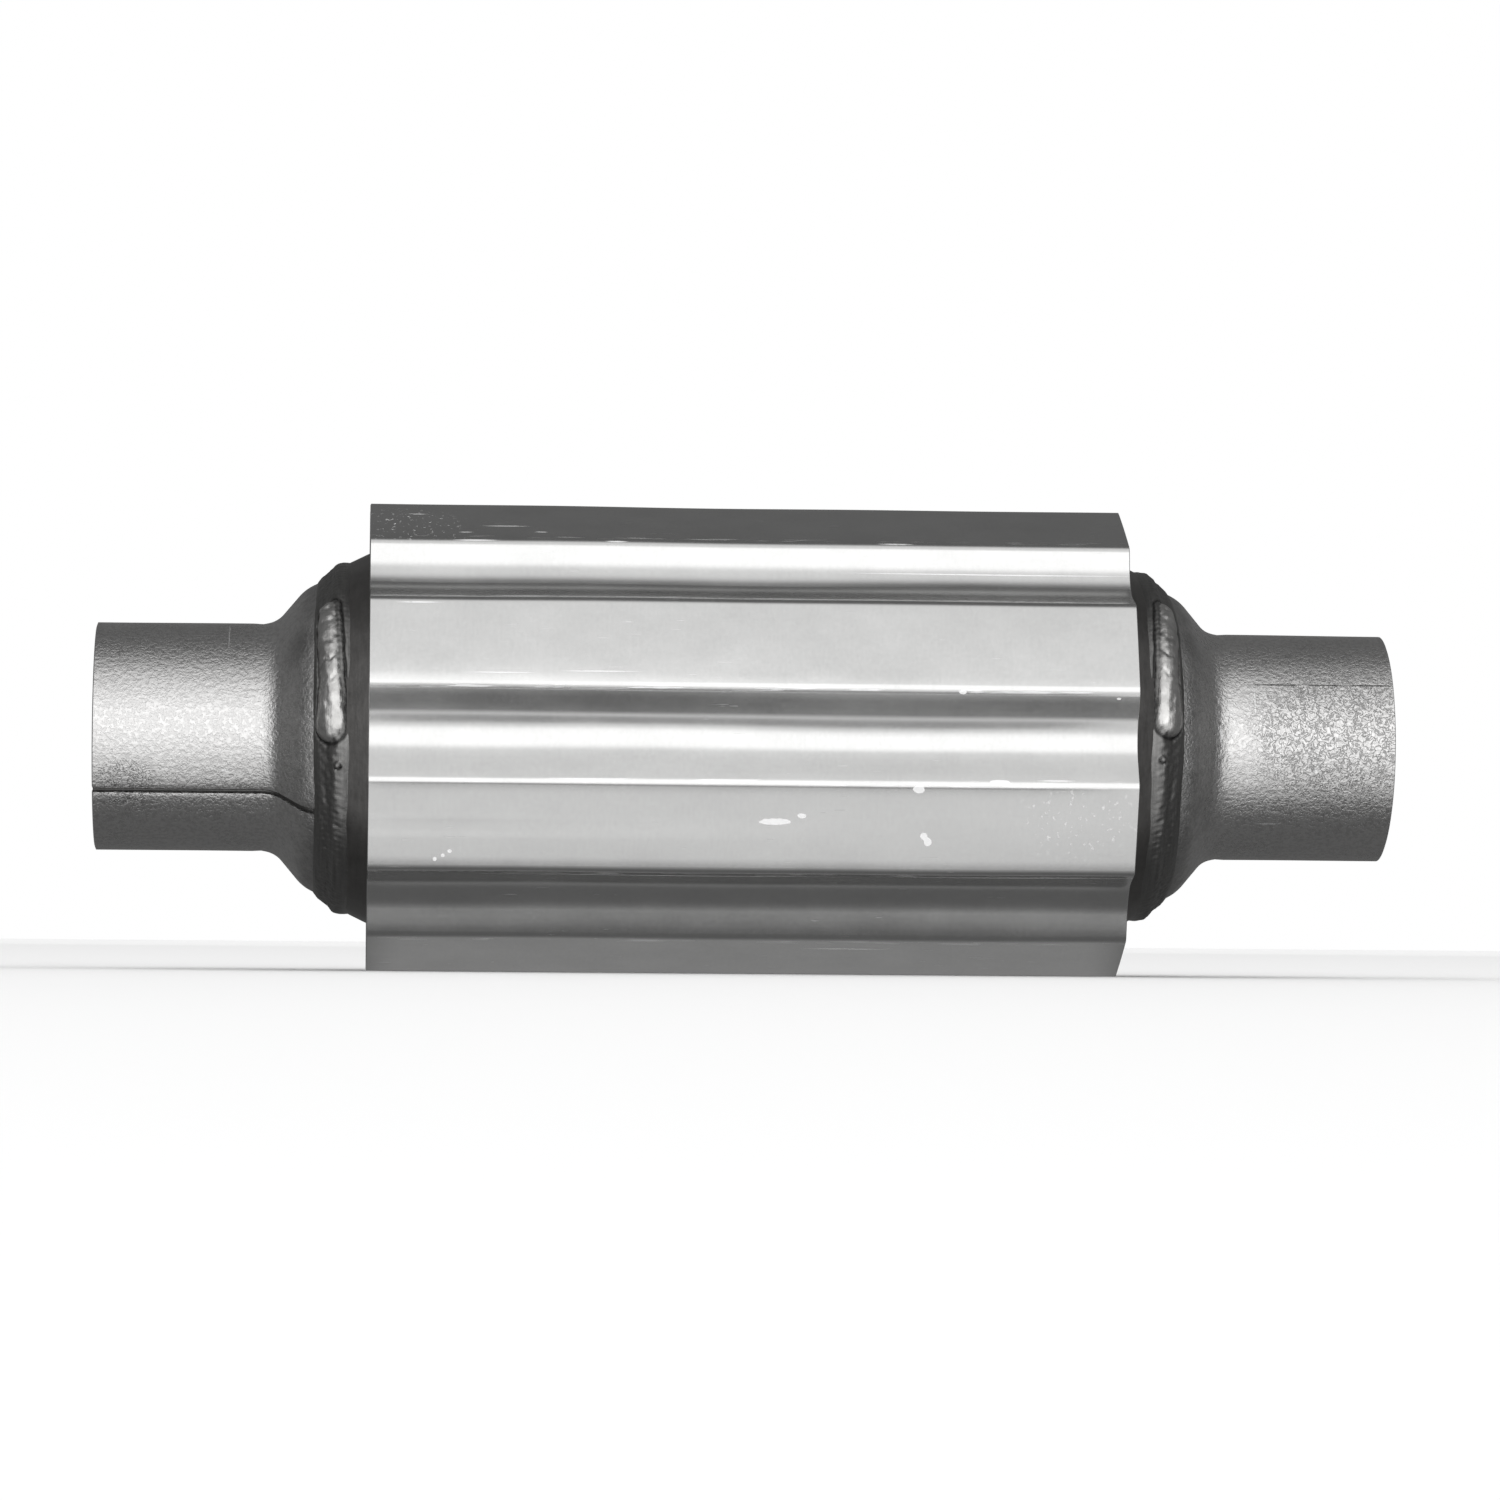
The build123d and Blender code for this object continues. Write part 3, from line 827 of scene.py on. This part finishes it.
class Finish(Nodes):
    """A material under construction."""

    def __init__(self, name, metallic, roughness):
        self.material = bpy.data.materials.new(name)
        self.material.use_nodes = True
        super().__init__(self.material.node_tree)
        self.shader = self.tree.nodes["Principled BSDF"]
        self.shader.inputs["Metallic"].default_value = metallic
        self.shader.inputs["Roughness"].default_value = roughness

    def shade(self, **values):
        """Feeds the shader's sockets, named with underscores for spaces."""
        for key, value in values.items():
            self.feed(self.shader.inputs[key.replace("_", " ")], value)
        return self.material

    def glow(self, level, strength=1.0):
        """Black cloth that glows by a level from 0 to 1 times a strength."""
        shown = self.blend(level, grey(0.0), grey(1.0))
        return self.shade(Base_Color=grey(0.0), Emission_Color=shown, Emission_Strength=strength)

    def body(self):
        """Places on the object, in metres."""
        return self.node("ShaderNodeTexCoord", output="Object")

    def unrolled(self):
        """Places on the unrolled sheet, in metres."""
        return self.node("ShaderNodeUVMap", {"uv_map": "unrolled"})

    def axes(self, where):
        return [self.node("ShaderNodeSeparateXYZ", None, {"Vector": where}, output=k) for k in range(3)]

    def round_axis(self, radius=1.0):
        """Distance round the axis from the front at a radius, distance along it, and both as a place."""
        x, y, z = self.axes(self.body())
        travel = z.angle_to(y * -1.0) * radius
        return travel, x, self.node("ShaderNodeCombineXYZ", None, {"X": travel, "Y": x})

    def noise(self, where, scale, detail=3.0, roughness=0.6, distortion=0.0):
        """Cloudy noise with a scale of features to the metre, or one for each direction."""
        if isinstance(scale, tuple):
            where, scale = self.node("ShaderNodeMapping", None, {"Vector": where, "Scale": scale}), 1.0
        values = {"Detail": detail, "Roughness": roughness, "Distortion": distortion}
        return self.node("ShaderNodeTexNoise", None, {"Vector": where, "Scale": scale, **values})

    def grain(self, across, along, detail=3.0, roughness=0.6):
        """Noise on the unrolled sheet, with so many features to the metre across and along it."""
        return self.noise(self.unrolled(), (across, along, 1), detail, roughness)

    def streaks(self, across, along, low, high):
        """The rare high spots of a grain."""
        return self.rise(self.grain(across, along, 2.0), low, high)

    def rise(self, value, low, high):
        """0 below low, 1 above high and smooth between."""
        values = {"Value": value, "From Min": low, "From Max": high}
        return self.node("ShaderNodeMapRange", {"interpolation_type": "SMOOTHSTEP"}, values)

    def vector(self, operation, first, second=None, output=0):
        values = {0: first} if second is None else {0: first, 1: second}
        return self.node("ShaderNodeVectorMath", {"operation": operation}, values, output)

    def patches(self, where, places, edge):
        """1 inside any of the ellipses of a table of marks, falling to 0 past their edges."""
        total = 0.0
        for u, v, across, along in places:
            away = self.vector("SUBTRACT", where, (u * MM, v * MM, 0.0))
            share = self.vector("MULTIPLY", away, (1 / (across * MM), 1 / (along * MM), 0.0))
            total = self.rise(1.0 - self.vector("LENGTH", share, output=1), -edge, edge) + total
        return total.min(1.0)

    def blend(self, factor, first, second):
        """A colour between two others."""
        return self.node("ShaderNodeMix", {"data_type": "RGBA"}, {0: factor, 6: first, 7: second}, output=2)

    def tone(self, factor, colour, low=0.0, high=1.0):
        """A colour darkened to a low share or brought up to a high one."""
        return self.blend(factor, times(colour, low), times(colour, high))

    def bump(self, height, distance):
        return self.node("ShaderNodeBump", None, {"Height": height, "Distance": distance})


def grey(level):
    return (level, level, level, 1.0)


def times(colour, share):
    return (colour[0] * share, colour[1] * share, colour[2] * share, 1.0)


# Marks in millimetres: (distance round from the front line, distance along, half width, half length)
# White spots that turn the sheet white and non-metallic where they lie.
WHITE_SPOTS = (
    (-24.0, 5.3, 0.9, 4.4),
    (-22.3, 12.3, 0.7, 1.2),
    (-14.6, 42.3, 1.2, 1.5),
    (-27.6, 44.0, 1.0, 0.9),
    (-29.2, 45.2, 1.1, 1.1),
    (-35.2, -82.3, 0.6, 0.5),
    (-34.2, -80.2, 0.5, 0.5),
    (-33.0, -78.5, 0.5, 0.6),
    (12.8, 53.5, 0.6, 1.0),
    (-12.6, 63.3, 0.6, 2.6),
    (11.4, 94.1, 0.35, 0.6),
)
# Thin bright lines: scratches, and at (56.8, 62.7) a painted highlight line standing in for the highlight of
# a slight ridge along a groove.
SCRATCHES_AND_HIGHLIGHT_LINES = (
    (73.9, -64.1, 0.22, 5.2),
    (64.6, -72.1, 0.25, 5.0),
    (69.4, -74.7, 0.22, 1.6),
    (69.8, -55.0, 0.22, 1.5),
    (82.5, -87.2, 0.20, 2.2),
    (64.6, -35.3, 0.25, 2.4),
    (65.0, 38.0, 0.2, 4.0),
    (36.6, -87.0, 0.2, 4.5),
    (16.9, -66.1, 0.12, 7.0),
    (17.4, -40.2, 0.12, 8.0),
    (56.8, 62.7, 0.14, 30.0),
    (-41.2, 70.0, 0.16, 26.0),
    (-41.6, -20.0, 0.12, 40.0),
    (-70.5, 26.0, 0.2, 9.0),
    (-12.1, 78.0, 0.2, 4.0),
)


DUST = ((-23, 84, 9, 15), (74, -88, 10, 12))


def shield_wear(f, pitch, fold):
    """Where the sheet is rubbed, and where it carries white spots, scratches, a painted highlight line and
    dust.
    """
    where = f.unrolled()
    torn = f.grain(700, 700)
    from_fold = (f.axes(where)[0].away_from_multiples(pitch) - fold).abs()
    rub = f.streaks(900, 60, 0.53, 0.62) * (1.0 - f.rise(from_fold, 0.2 * MM, 1.0 * MM))
    scratch = f.streaks(2600, 70, 0.70, 0.74) * f.streaks(90, 25, 0.50, 0.60)
    white_spots = f.rise(f.patches(where, WHITE_SPOTS, 0.5) + torn, 0.95, 1.15)
    # Listed scratches, and one painted highlight line.
    lines = f.patches(where, SCRATCHES_AND_HIGHLIGHT_LINES, 0.5) * f.rise(torn, 0.25, 0.40)
    dust = f.patches(where, DUST, 0.7) * f.rise(torn, 0.60, 0.68)
    return rub.max(0.7 * scratch).max(lines), white_spots.max(0.6 * lines).max(0.6 * dust)


def shield_finish(s, pitch, fold):
    """Bright sheet with a fine grain, cloudy patches, rubbed fold lines, handling scratches, white spots and
    a painted highlight line.
    """
    f = Finish("bright_shield_sheet", 1.0, 0.3)
    wear_and_highlight, white = shield_wear(f, pitch, fold)
    cloud = f.grain(70, 45, 4.0, 0.65)
    grain = f.grain(260, 1500)
    speckle = f.grain(900, 900, 3.0, 0.65)
    shine = 0.74 + 0.24 * cloud + 0.06 * grain + 0.10 * speckle
    colour = f.blend(wear_and_highlight.max(white), f.tone(shine, s.colour), grey(0.95))
    roughness = 0.15 + 0.10 * cloud + 0.05 * speckle + 0.3 * wear_and_highlight
    bump = f.bump(0.5 * grain + speckle + 1.5 * cloud - 2.0 * wear_and_highlight, 0.006 * MM)
    return f.shade(Base_Color=colour, Roughness=roughness, Metallic=1.0 - 0.8 * white, Normal=bump)


# Marks of both necks, in the same terms
ETCHED = ((3, 157, 20, 25), (-14, -163, 7, 8))
HEAT_SPOTS = ((22, 115, 5, 4), (20, -116, 5, 4))
NECK_SCUFFS = (
    (33.0, -136.5, 7.0, 0.16),
    (-9.7, -137.0, 0.4, 0.9),
    (2.3, 125.0, 2.2, 0.30),
    (-9.8, 169.9, 0.2, 1.5),
    (-4.1, 140.9, 3.4, 0.14),
    (12.0, 134.4, 3.6, 0.14),
    (-23.0, 139.0, 0.25, 3.4),
    (-7.0, 150.5, 0.5, 0.6),
)


def scribed_line(f, travel, x, where, speckle):
    """The broken dark line along the outlet's pipe, with ragged sides."""
    from_line = (travel - 16.8 * MM).abs() + 0.5 * MM * (speckle - 0.5)
    line = 1.0 - f.rise(from_line, 0.10 * MM, 0.35 * MM)
    return line * f.rise(x, 128 * MM, 140 * MM) * f.rise(f.noise(where, (1, 160, 1), 2.0), 0.36, 0.50)


def neck_finish(s):
    """Mill-finish sheet: an orange-peel speckle, etched worm tracks, scuffs and dark weld heat."""
    f = Finish("speckled_neck_sheet", 1.0, 0.4)
    body = f.body()
    travel, x, where = f.round_axis(s.radius)
    speckle = f.noise(body, 900.0, 3.0, 0.7)
    grains = f.rise(speckle, 0.36, 0.62)
    patch = f.noise(body, 60.0)
    bands = f.noise(where, (420, 14, 1))
    etched = f.patches(where, ETCHED, 0.4)
    track = 1.0 - f.rise((f.noise(body, 620.0, 2.0, 0.5, 1.2) - 0.5).abs(), 0.014, 0.055)
    track = track * f.rise(patch + 0.6 * etched, 0.55, 0.9) * etched
    heat = f.rise(9 * MM * f.noise(body, 160.0) - x.abs(), -116 * MM, -109 * MM)
    line = scribed_line(f, travel, x, where, speckle)
    scuffs = f.patches(where, NECK_SCUFFS, 0.4)
    dark = (0.55 * track).max(0.45 * heat).max(0.5 * f.patches(where, HEAT_SPOTS, 0.8)).max(0.8 * line)
    base = f.tone(0.72 + 0.18 * grains + 0.14 * patch + 0.10 * bands, s.colour)
    colour = f.blend(scuffs, f.blend(dark, base, times(s.colour, 0.12)), grey(0.85))
    roughness = 0.20 + 0.10 * patch + 0.08 * speckle + 0.2 * scuffs + 0.1 * heat
    height = 0.45 * grains + 0.25 * bands + 0.6 * f.noise(body, 300.0, 2.0, 0.5) - 0.3 * track - 0.4 * line
    return f.shade(Base_Color=colour, Roughness=roughness, Normal=f.bump(height, 0.16 * MM))


def shell_finish(s):
    """Sheet dulled by weld heat, mottled, with streaks round the body."""
    f = Finish("mottled_shell_sheet", 1.0, 0.42)
    streak = f.noise(f.round_axis()[2], (5, 700, 1))
    mottle = f.noise(f.body(), 130.0, 4.0, 0.65)
    fine = f.noise(f.body(), 900.0)
    colour = f.tone(0.30 + 0.55 * mottle + 0.35 * streak + 0.15 * fine, s.colour)
    bump = f.bump(mottle + 0.5 * streak + 0.3 * fine, 0.08 * MM)
    return f.shade(Base_Color=colour, Roughness=0.28 + 0.16 * mottle, Normal=bump)


def weld_finish(s, name="weld_metal", share=1.0):
    """As-welded metal: bright on the raised run, dull and streaked on the low bead, with painted shade in the
    crevice.
    """
    f = Finish(name, 1.0, 0.36)
    raised = f.node("ShaderNodeAttribute", {"attribute_name": "raised"}, output=2)
    scale = f.noise(f.body(), 520.0, 4.0, 0.65)
    patch = f.noise(f.body(), 150.0)
    along = f.grain(60, 900)
    # raised.min(0.0) is -1 in the crevice round the raised run, and a share below 1 halves the colour for the
    # seam welds: both are painted shade.
    dull = f.tone(0.2 + 0.9 * along + 0.8 * raised.min(0.0), s.colour, 0.10 * share, 0.47 * share)
    bright = f.tone(0.9 * patch + 0.5 * scale, s.colour, 0.15, 1.25)
    colour = f.blend(raised.max(0.0), dull, bright)
    roughness = 0.34 + 0.14 * scale - 0.10 * raised
    bump = f.bump(scale + 0.6 * along + patch, 0.14 * MM)
    return f.shade(Base_Color=colour, Roughness=roughness, Normal=bump)


def ceramic_finish(s):
    """Matt coated ceramic, slightly uneven in colour."""
    f = Finish("coated_ceramic", 0.0, 0.85)
    fine = f.noise(f.body(), 1500.0, 2.0)
    colour = f.tone(0.6 * f.noise(f.body(), 70.0) + 0.3 * fine, s.colour, 0.8, 1.1)
    return f.shade(Base_Color=colour, Normal=f.bump(fine, 0.03 * MM))


def fibre_finish(s):
    """Pressed ceramic fibre with flecks of expanding mineral."""
    f = Finish("ceramic_fibre_mat", 0.0, 0.95)
    fibre = f.noise(f.body(), (900, 300, 300), 4.0, 0.7)
    fleck = f.rise(f.noise(f.body(), 600.0, 2.0, 0.5), 0.62, 0.68)
    colour = f.blend(fleck, times(s.fibre, 1.0), times(s.fleck, 1.0))
    return f.shade(Base_Color=colour, Normal=f.bump(fibre, 0.2 * MM))


def knit_finish(s):
    """Knitted wire pressed into a ring: two crossed waves of fine wire."""
    f = Finish("knitted_wire", 0.9, 0.4)
    waves = []
    for direction, scale in (("X", 400), ("DIAGONAL", 330)):
        values = {"Vector": f.body(), "Scale": scale, "Distortion": 3.0}
        waves.append(f.node("ShaderNodeTexWave", {"bands_direction": direction}, values))
    wire = waves[0].max(waves[1])
    colour = f.blend(f.rise(wire, 0.3, 0.8), grey(0.08), times(s.wire, 1.0))
    return f.shade(Base_Color=colour, Normal=f.bump(wire, 0.2 * MM))


def dress(finish, *nodes):
    """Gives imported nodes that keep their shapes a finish."""
    for node in nodes:
        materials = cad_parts[node].data.materials
        materials.clear()
        materials.append(finish)


def build_packing(settings):
    """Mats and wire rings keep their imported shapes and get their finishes."""
    s = settings.packing
    dress(fibre_finish(s), "front_mat", "rear_mat")
    rings = [f"{brick}_mat_{side}_ring" for brick in ("front", "rear") for side in ("inlet", "outlet")]
    dress(knit_finish(s), *rings)


def build_small_welds(settings):
    """The weld in each rolled seam, sunk in the necks and proud on the body, and the lap's spot welds."""
    s, shell = settings.necks, settings.shell
    # Its colour is halved: painted shade for the narrow sunk neck seams, which the body seam and spot welds
    # share.
    finish = weld_finish(settings.welds, "weld_metal_with_painted_shade", 0.5)
    neck, barrel = neck_line(settings), shell_line(shell)
    sunk, proud = (-0.4 * MM, -1.2 * MM), (0.4 * MM, 0.0)
    rows = (
        ("inlet_seam_run", neck, s.wall, s.inlet_seam, s.seam, False, sunk, "inlet_neck_seam_weld"),
        ("outlet_seam_run", neck, s.wall, s.outlet_seam, s.seam, True, sunk, "outlet_neck_seam_weld"),
        ("body_seam_run", barrel, shell.wall, shell.seam_clock, shell.seam, False, proud, "body_seam_weld"),
    )
    for *row, face, node in rows:
        place(seam_run(*row, *face), "weld_metal", finish, node)
    build_spot_marks(settings.shield, finish)


# Stage


def stage_sheet(name, points, finish):
    """A single surface of the stage from a grid of points."""
    index = np.arange(points.shape[0] * points.shape[1]).reshape(points.shape[:2])
    mesh = bpy.data.meshes.new(name)
    mesh.from_pydata(points.reshape(-1, 3).tolist(), [], quads(index).tolist())
    mesh.materials.append(finish)
    mesh.polygons.foreach_set("use_smooth", np.ones(len(mesh.polygons), bool))
    sheet = bpy.data.objects.new(name, mesh)
    bpy.context.scene.collection.objects.link(sheet)
    sheet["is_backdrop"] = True
    return sheet


def softbox(s, name, elevation, height):
    """A soft rectangular lamp in front that faces the object, its power set by the glow of its face."""
    lamp = bpy.data.lights.new(name, "AREA")
    lamp.shape = "RECTANGLE"
    lamp.size, lamp.size_y = s.lamp_width, height
    lamp.energy = s.lamp_glow * pi * s.lamp_width * height
    holder = bpy.data.objects.new(name, lamp)
    holder.location = s.lamp_distance * Vector((0.0, -cos(radians(elevation)), sin(radians(elevation))))
    holder.rotation_euler = (-holder.location).to_track_quat("-Z", "Y").to_euler()
    holder.visible_camera = False
    holder.visible_glossy = False
    bpy.context.scene.collection.objects.link(holder)


def tent_finish(s):
    """The glow of the tent, by the angle up from the camera's side and the distance to the side."""
    finish = Finish("light_tent", 0.0, 1.0)
    x, y, z = finish.axes(finish.body())
    up = z.angle_to(y * -1.0)
    aside = x.abs().angle_to((y * y + z * z).root())
    opening = finish.rise(up, *s.opening_low) * (1.0 - finish.rise(up, *s.opening_high))
    lamp = finish.rise(up, *s.lamp_low) * (1.0 - finish.rise(up, *s.lamp_high)) * s.lamp_level
    glow = (opening + lamp) * (1.0 - finish.rise(aside, *s.opening_side))
    glow = glow * (1.0 - s.tent_level) + s.tent_level
    return finish.glow(glow * (1.0 / TENT_GLOW), TENT_GLOW)


def reflected_only(sheet):
    """The sheet shows in reflections, and neither lights nor shades anything."""
    sheet.visible_camera = False
    sheet.visible_diffuse = False
    sheet.visible_transmission = False
    sheet.visible_shadow = False


def build_tent(s):
    """A ball of dim cloth, open to the front, that shows in reflections only."""
    elevation = np.linspace(-0.5 * pi, 0.5 * pi, 25)[:, None]
    azimuth = np.linspace(0.0, 2 * pi, 49)[None, :]
    level = np.cos(elevation)
    ball = together(level * np.cos(azimuth), level * np.sin(azimuth), np.sin(elevation))
    reflected_only(stage_sheet("light_tent", s.tent_radius * ball, tent_finish(s)))


def floor_card(name, half_length, front, back, glow):
    """A card just over the floor that shows in reflections only, its glow a function of |x| and y."""
    finish = Finish(name, 0.0, 1.0)
    x_here, y_here, _ = finish.axes(finish.body())
    finish.glow(glow(finish, x_here.abs(), y_here))
    x, y = np.meshgrid([-half_length, half_length], [front, back])
    reflected_only(stage_sheet(name, together(x, y, CAD_BOX[0][2] + HAIR), finish.material))


def build_cards(s):
    """The dim floor close to the object, darkest below the body's front, and a half-dim strip before it."""

    def shade(f, x, y):
        front = 1.0 - f.rise(y, s.shade_front, s.shade_front + 28 * MM)
        back = f.rise(y, -38 * MM, -28 * MM) * (1.0 - f.rise(x, 90 * MM, 110 * MM))
        return 0.13 + 0.30 * front + 0.16 * back

    def strip(f, _, y):
        far = f.rise(y, s.strip_far, s.strip_far + s.strip_edge)
        near = 1.0 - f.rise(y, s.strip_near - s.strip_edge, s.strip_near)
        return 1.0 - 0.62 * (far * near)

    floor_card("shaded_floor", 0.2, s.shade_front, s.shade_back, shade)
    floor_card("half_dim_floor", 0.1, s.strip_far, s.strip_near, strip)


def build_floor(s):
    finish = Finish("pale_floor", 0.0, 0.9).shade(Base_Color=times(s.floor_colour, 1.0))
    radius = np.linspace(0.0, s.floor_radius, 24)[:, None]
    clock = np.linspace(0.0, 2 * pi, 73)[None, :]
    points = together(radius * np.cos(clock), radius * np.sin(clock), CAD_BOX[0][2])
    stage_sheet("floor", points, finish).visible_glossy = False


def build_sky(s):
    world = bpy.data.worlds.new("soft_room")
    bpy.context.scene.world = world
    world.use_nodes = True
    room = Nodes(world.node_tree)
    sky = room.node("ShaderNodeBackground", None, {"Color": grey(1.0), "Strength": s.sky_level})
    room.feed(room.tree.nodes["World Output"].inputs["Surface"], sky)


def build_camera(s):
    camera = bpy.data.cameras.new("camera")
    camera.sensor_width = 36.0
    camera.lens = s.camera_lens
    camera.clip_end = 50.0
    holder = bpy.data.objects.new("camera", camera)
    holder.location = s.camera_place
    line = Vector(s.camera_aim) - holder.location
    holder.rotation_euler = line.to_track_quat("-Z", "Y").to_euler()
    holder.rotation_euler.rotate_axis("Z", s.camera_roll)
    bpy.context.scene.collection.objects.link(holder)
    bpy.context.scene.camera = holder
    bpy.context.scene.view_settings.view_transform = "Standard"


def build_stage(settings):
    """A pale floor in soft light, what the bright metal reflects, and the camera."""
    s = settings.stage
    build_floor(s)
    softbox(s, "front_softbox", 18.0, 1.6)
    softbox(s, "upper_softbox", 51.0, 1.15)
    build_tent(s)
    build_cards(s)
    build_sky(s)
    build_camera(s)


# Operators


class BuildOperator:
    """What every build step shares: it runs one function on the scene's settings."""

    bl_options = {"REGISTER", "UNDO"}

    def execute(self, context):
        self.build(context.scene.converter)
        return {"FINISHED"}


class CONVERTER_OT_stage(BuildOperator, bpy.types.Operator):
    """Set up the floor, the lamps and the camera"""

    bl_idname = "converter.stage"
    bl_label = "Stage"
    build = staticmethod(build_stage)


class CONVERTER_OT_shield(BuildOperator, bpy.types.Operator):
    """Roll the ribbed heat shield"""

    bl_idname = "converter.shield"
    bl_label = "Heat Shield"
    build = staticmethod(build_heat_shield)


class CONVERTER_OT_necks(BuildOperator, bpy.types.Operator):
    """Roll and flare both necks"""

    bl_idname = "converter.necks"
    bl_label = "Necks"
    build = staticmethod(build_necks)


class CONVERTER_OT_shell(BuildOperator, bpy.types.Operator):
    """Roll the body shell and press down its ends"""

    bl_idname = "converter.shell"
    bl_label = "Body Shell"
    build = staticmethod(build_shell)


class CONVERTER_OT_girth_welds(BuildOperator, bpy.types.Operator):
    """Run the beads round both joints"""

    bl_idname = "converter.girth_welds"
    bl_label = "Girth Welds"
    build = staticmethod(build_girth_welds)


class CONVERTER_OT_small_welds(BuildOperator, bpy.types.Operator):
    """Finish the seam welds and spot welds"""

    bl_idname = "converter.small_welds"
    bl_label = "Seam and Spot Welds"
    build = staticmethod(build_small_welds)


class CONVERTER_OT_bricks(BuildOperator, bpy.types.Operator):
    """Cut the honeycomb bricks' cells"""

    bl_idname = "converter.bricks"
    bl_label = "Honeycomb Bricks"
    build = staticmethod(build_bricks)


class CONVERTER_OT_packing(BuildOperator, bpy.types.Operator):
    """Finish the mats and wire rings"""

    bl_idname = "converter.packing"
    bl_label = "Mats and Wire Rings"
    build = staticmethod(build_packing)


OPERATORS = (
    CONVERTER_OT_stage,
    CONVERTER_OT_shield,
    CONVERTER_OT_necks,
    CONVERTER_OT_shell,
    CONVERTER_OT_girth_welds,
    CONVERTER_OT_small_welds,
    CONVERTER_OT_bricks,
    CONVERTER_OT_packing,
)


class CONVERTER_PT_looks(bpy.types.Panel):
    """Lists the build steps and their sizes"""

    bl_label = "Catalytic Converter"
    bl_idname = "CONVERTER_PT_looks"
    bl_space_type = "VIEW_3D"
    bl_region_type = "UI"
    bl_category = "Converter"

    def draw(self, context):
        layout = self.layout
        for operator in OPERATORS:
            layout.operator(operator.bl_idname)
        for group in GROUPS:
            box = layout.box()
            box.label(text=group.title())
            settings = getattr(context.scene.converter, group)
            for name in settings.bl_rna.properties.keys():
                if name not in ("rna_type", "name"):
                    box.prop(settings, name)


CLASSES = (*GROUPS.values(), ConverterSettings, *OPERATORS, CONVERTER_PT_looks)


def register():
    for item in CLASSES:
        bpy.utils.register_class(item)
    bpy.types.Scene.converter = PointerProperty(type=ConverterSettings)


def unregister():
    del bpy.types.Scene.converter
    for item in reversed(CLASSES):
        bpy.utils.unregister_class(item)


def corners(box):
    return [[float(value) for value in corner] for corner in box]


def main():
    register()
    for operator in OPERATORS:
        getattr(bpy.ops.converter, operator.bl_idname.removeprefix("converter."))()
    {"cad": corners(CAD_BOX), "visual": corners(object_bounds())}


if __name__ == "__main__":
    main()
